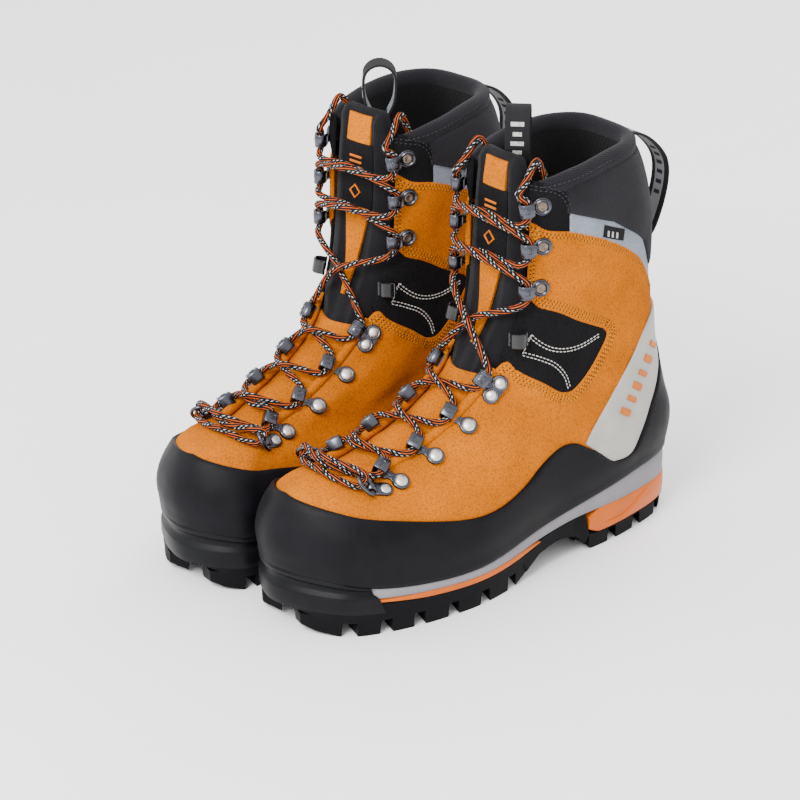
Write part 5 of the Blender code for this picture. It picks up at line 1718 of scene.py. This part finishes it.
def make_toe():
    """The rubber toe in front of the midsole, with the groove for a crampon's bail and the lip over it."""
    stations = np.linspace(-1.86, 1.86, 90)
    profile = [(8, up_side(1.0)), (-WELT - .5, up_side(1.0)), (-WELT - 1.0, up_side(.93)),
               (-WELT - .8, up_side(.80)), (-WELT + 1.6, up_side(.68)), (-WELT + 2.2, up_side(.50)),
               (-WELT + 1.6, up_side(.30)), (-WELT - .6, up_side(.16)), (-WELT - .9, up_side(.02)),
               (-WELT - .9, over_foot(-6)), (-WELT + .2, over_foot(-10)), (8, over_foot(-10))]
    toe = outward(sole_band(stations, profile, False, lean=TOE_LEAN))
    place_piece("toe_bumper", toe, "glossy", corner=55)


def make_inside():
    """The moulded footbed."""
    rows = []
    for y in np.linspace(-281, -19, 70):
        left, right = x_at(y, -1) + 13.5, x_at(y, 1) - 13.5
        middle = (left + right) / 2
        foot, top = feather_z(y) + 1.4, feather_z(y) + 6.4
        cup = 2.2 if y > -110 else 1.0
        row = [(left, y, foot), (right, y, foot)]
        for f in np.linspace(1, -1, 11):
            rise = cup * f * f * (1.0 if abs(f) < .99 else .7)
            row.append((middle + f * (right - left) / 2, y, top + rise))
        rows.append(row)
    insole = outward(loft(np.array(rows)))
    place_piece("footbed_insole", insole, "footbed", "footbed", ("footbed",))


def feather_z(y):
    """Height of the feather line on the outer side."""
    half = FEATHER[280:]
    order = np.argsort(half[:, 1])
    return float(np.interp(y, half[order, 1], half[order, 2]))


def dress_cad():
    """The CAD pieces that stay: the hidden shank and board."""
    for _, label in SIDES:
        for node, finish in (("shank", "nylon"), ("lasting_board", "board")):
            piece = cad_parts[f"{node}_{label}"]
            piece.data.materials.clear()
            piece.data.materials.append(FINISHES[finish])


# ---------------------------------------------------------------- the studio
VIEW_AZIMUTH, VIEW_ELEVATION = math.radians(46.94), math.radians(24.37)
VIEW_DISTANCE, VIEW_LENS = 2.036, 146.6
VIEW_TARGET = Vector((0, .0019, .100))


def make_camera():
    """The camera at the photograph's angle."""
    cos, sin = math.cos(VIEW_AZIMUTH), math.sin(VIEW_AZIMUTH)
    level = math.cos(VIEW_ELEVATION)
    back = Vector((sin * level, -cos * level, math.sin(VIEW_ELEVATION)))
    right = Vector((cos, sin, 0))
    target = VIEW_TARGET - right * .0073 - back.cross(right) * .0106
    camera = bpy.data.objects.new("camera", bpy.data.cameras.new("camera"))
    camera.data.lens = VIEW_LENS
    camera.data.clip_start, camera.data.clip_end = .1, 20
    camera.location = target + back * VIEW_DISTANCE
    camera.rotation_mode = "QUATERNION"
    camera.rotation_quaternion = back.to_track_quat("Z", "Y")
    bpy.context.scene.collection.objects.link(camera)
    bpy.context.scene.camera = camera


def area_light(name, place, size, power):
    """A square light that points at the boots."""
    light = bpy.data.lights.new(name, "AREA")
    light.shape, light.size, light.energy = "SQUARE", size, power
    holder = bpy.data.objects.new(name, light)
    holder.location = place
    holder.rotation_mode = "QUATERNION"
    holder.rotation_quaternion = (Vector(place) - Vector((0, 0, .1))).to_track_quat("Z", "Y")
    bpy.context.scene.collection.objects.link(holder)


def make_studio():
    """A pale floor, a white world and three soft lights."""
    mesh = bpy.data.meshes.new("floor")
    mesh.from_pydata([(-6, -6, 0), (6, -6, 0), (6, 6, 0), (-6, 6, 0)], [], [(0, 1, 2, 3)])
    floor = bpy.data.objects.new("floor", mesh)
    finish = Finish("floor_paper", (.96, .96, .96), .7)
    paper = finish.ramp(finish.noise(6, 2.0), (.3, (.95, .95, .95)), (.7, (.97, .97, .97)))
    finish.put("Base Color", paper)
    mesh.materials.append(finish.made)
    bpy.context.scene.collection.objects.link(floor)
    world = bpy.data.worlds.new("studio")
    world.use_nodes = True
    world.node_tree.nodes["Background"].inputs[0].default_value = (1, 1, 1, 1)
    world.node_tree.nodes["Background"].inputs[1].default_value = 1.75
    bpy.context.scene.world = world
    area_light("key", (.5, -1.5, 1.5), .8, 62)
    area_light("fill", (-1.3, -1.2, 1.1), 1.2, 14)
    area_light("rim", (-.5, 1.5, 1.4), 1.0, 20)


make_camera()
make_leather()
make_throat_rolls()
make_flex_panels()
make_flaps()
make_trim()
make_tag()
make_rand()
make_strap()
make_strap_marks()
cuffs = make_collar()
make_lining()
pads = make_tongue()
make_tongue_strip()
make_seams()
make_hardware()
make_d_rings()
make_lace()
make_tongue_loop()
make_rear_loop()
make_keepers()
make_midsole()
make_inserts()
make_outsole()
make_toe()
make_inside()
dress_cad()
make_studio()
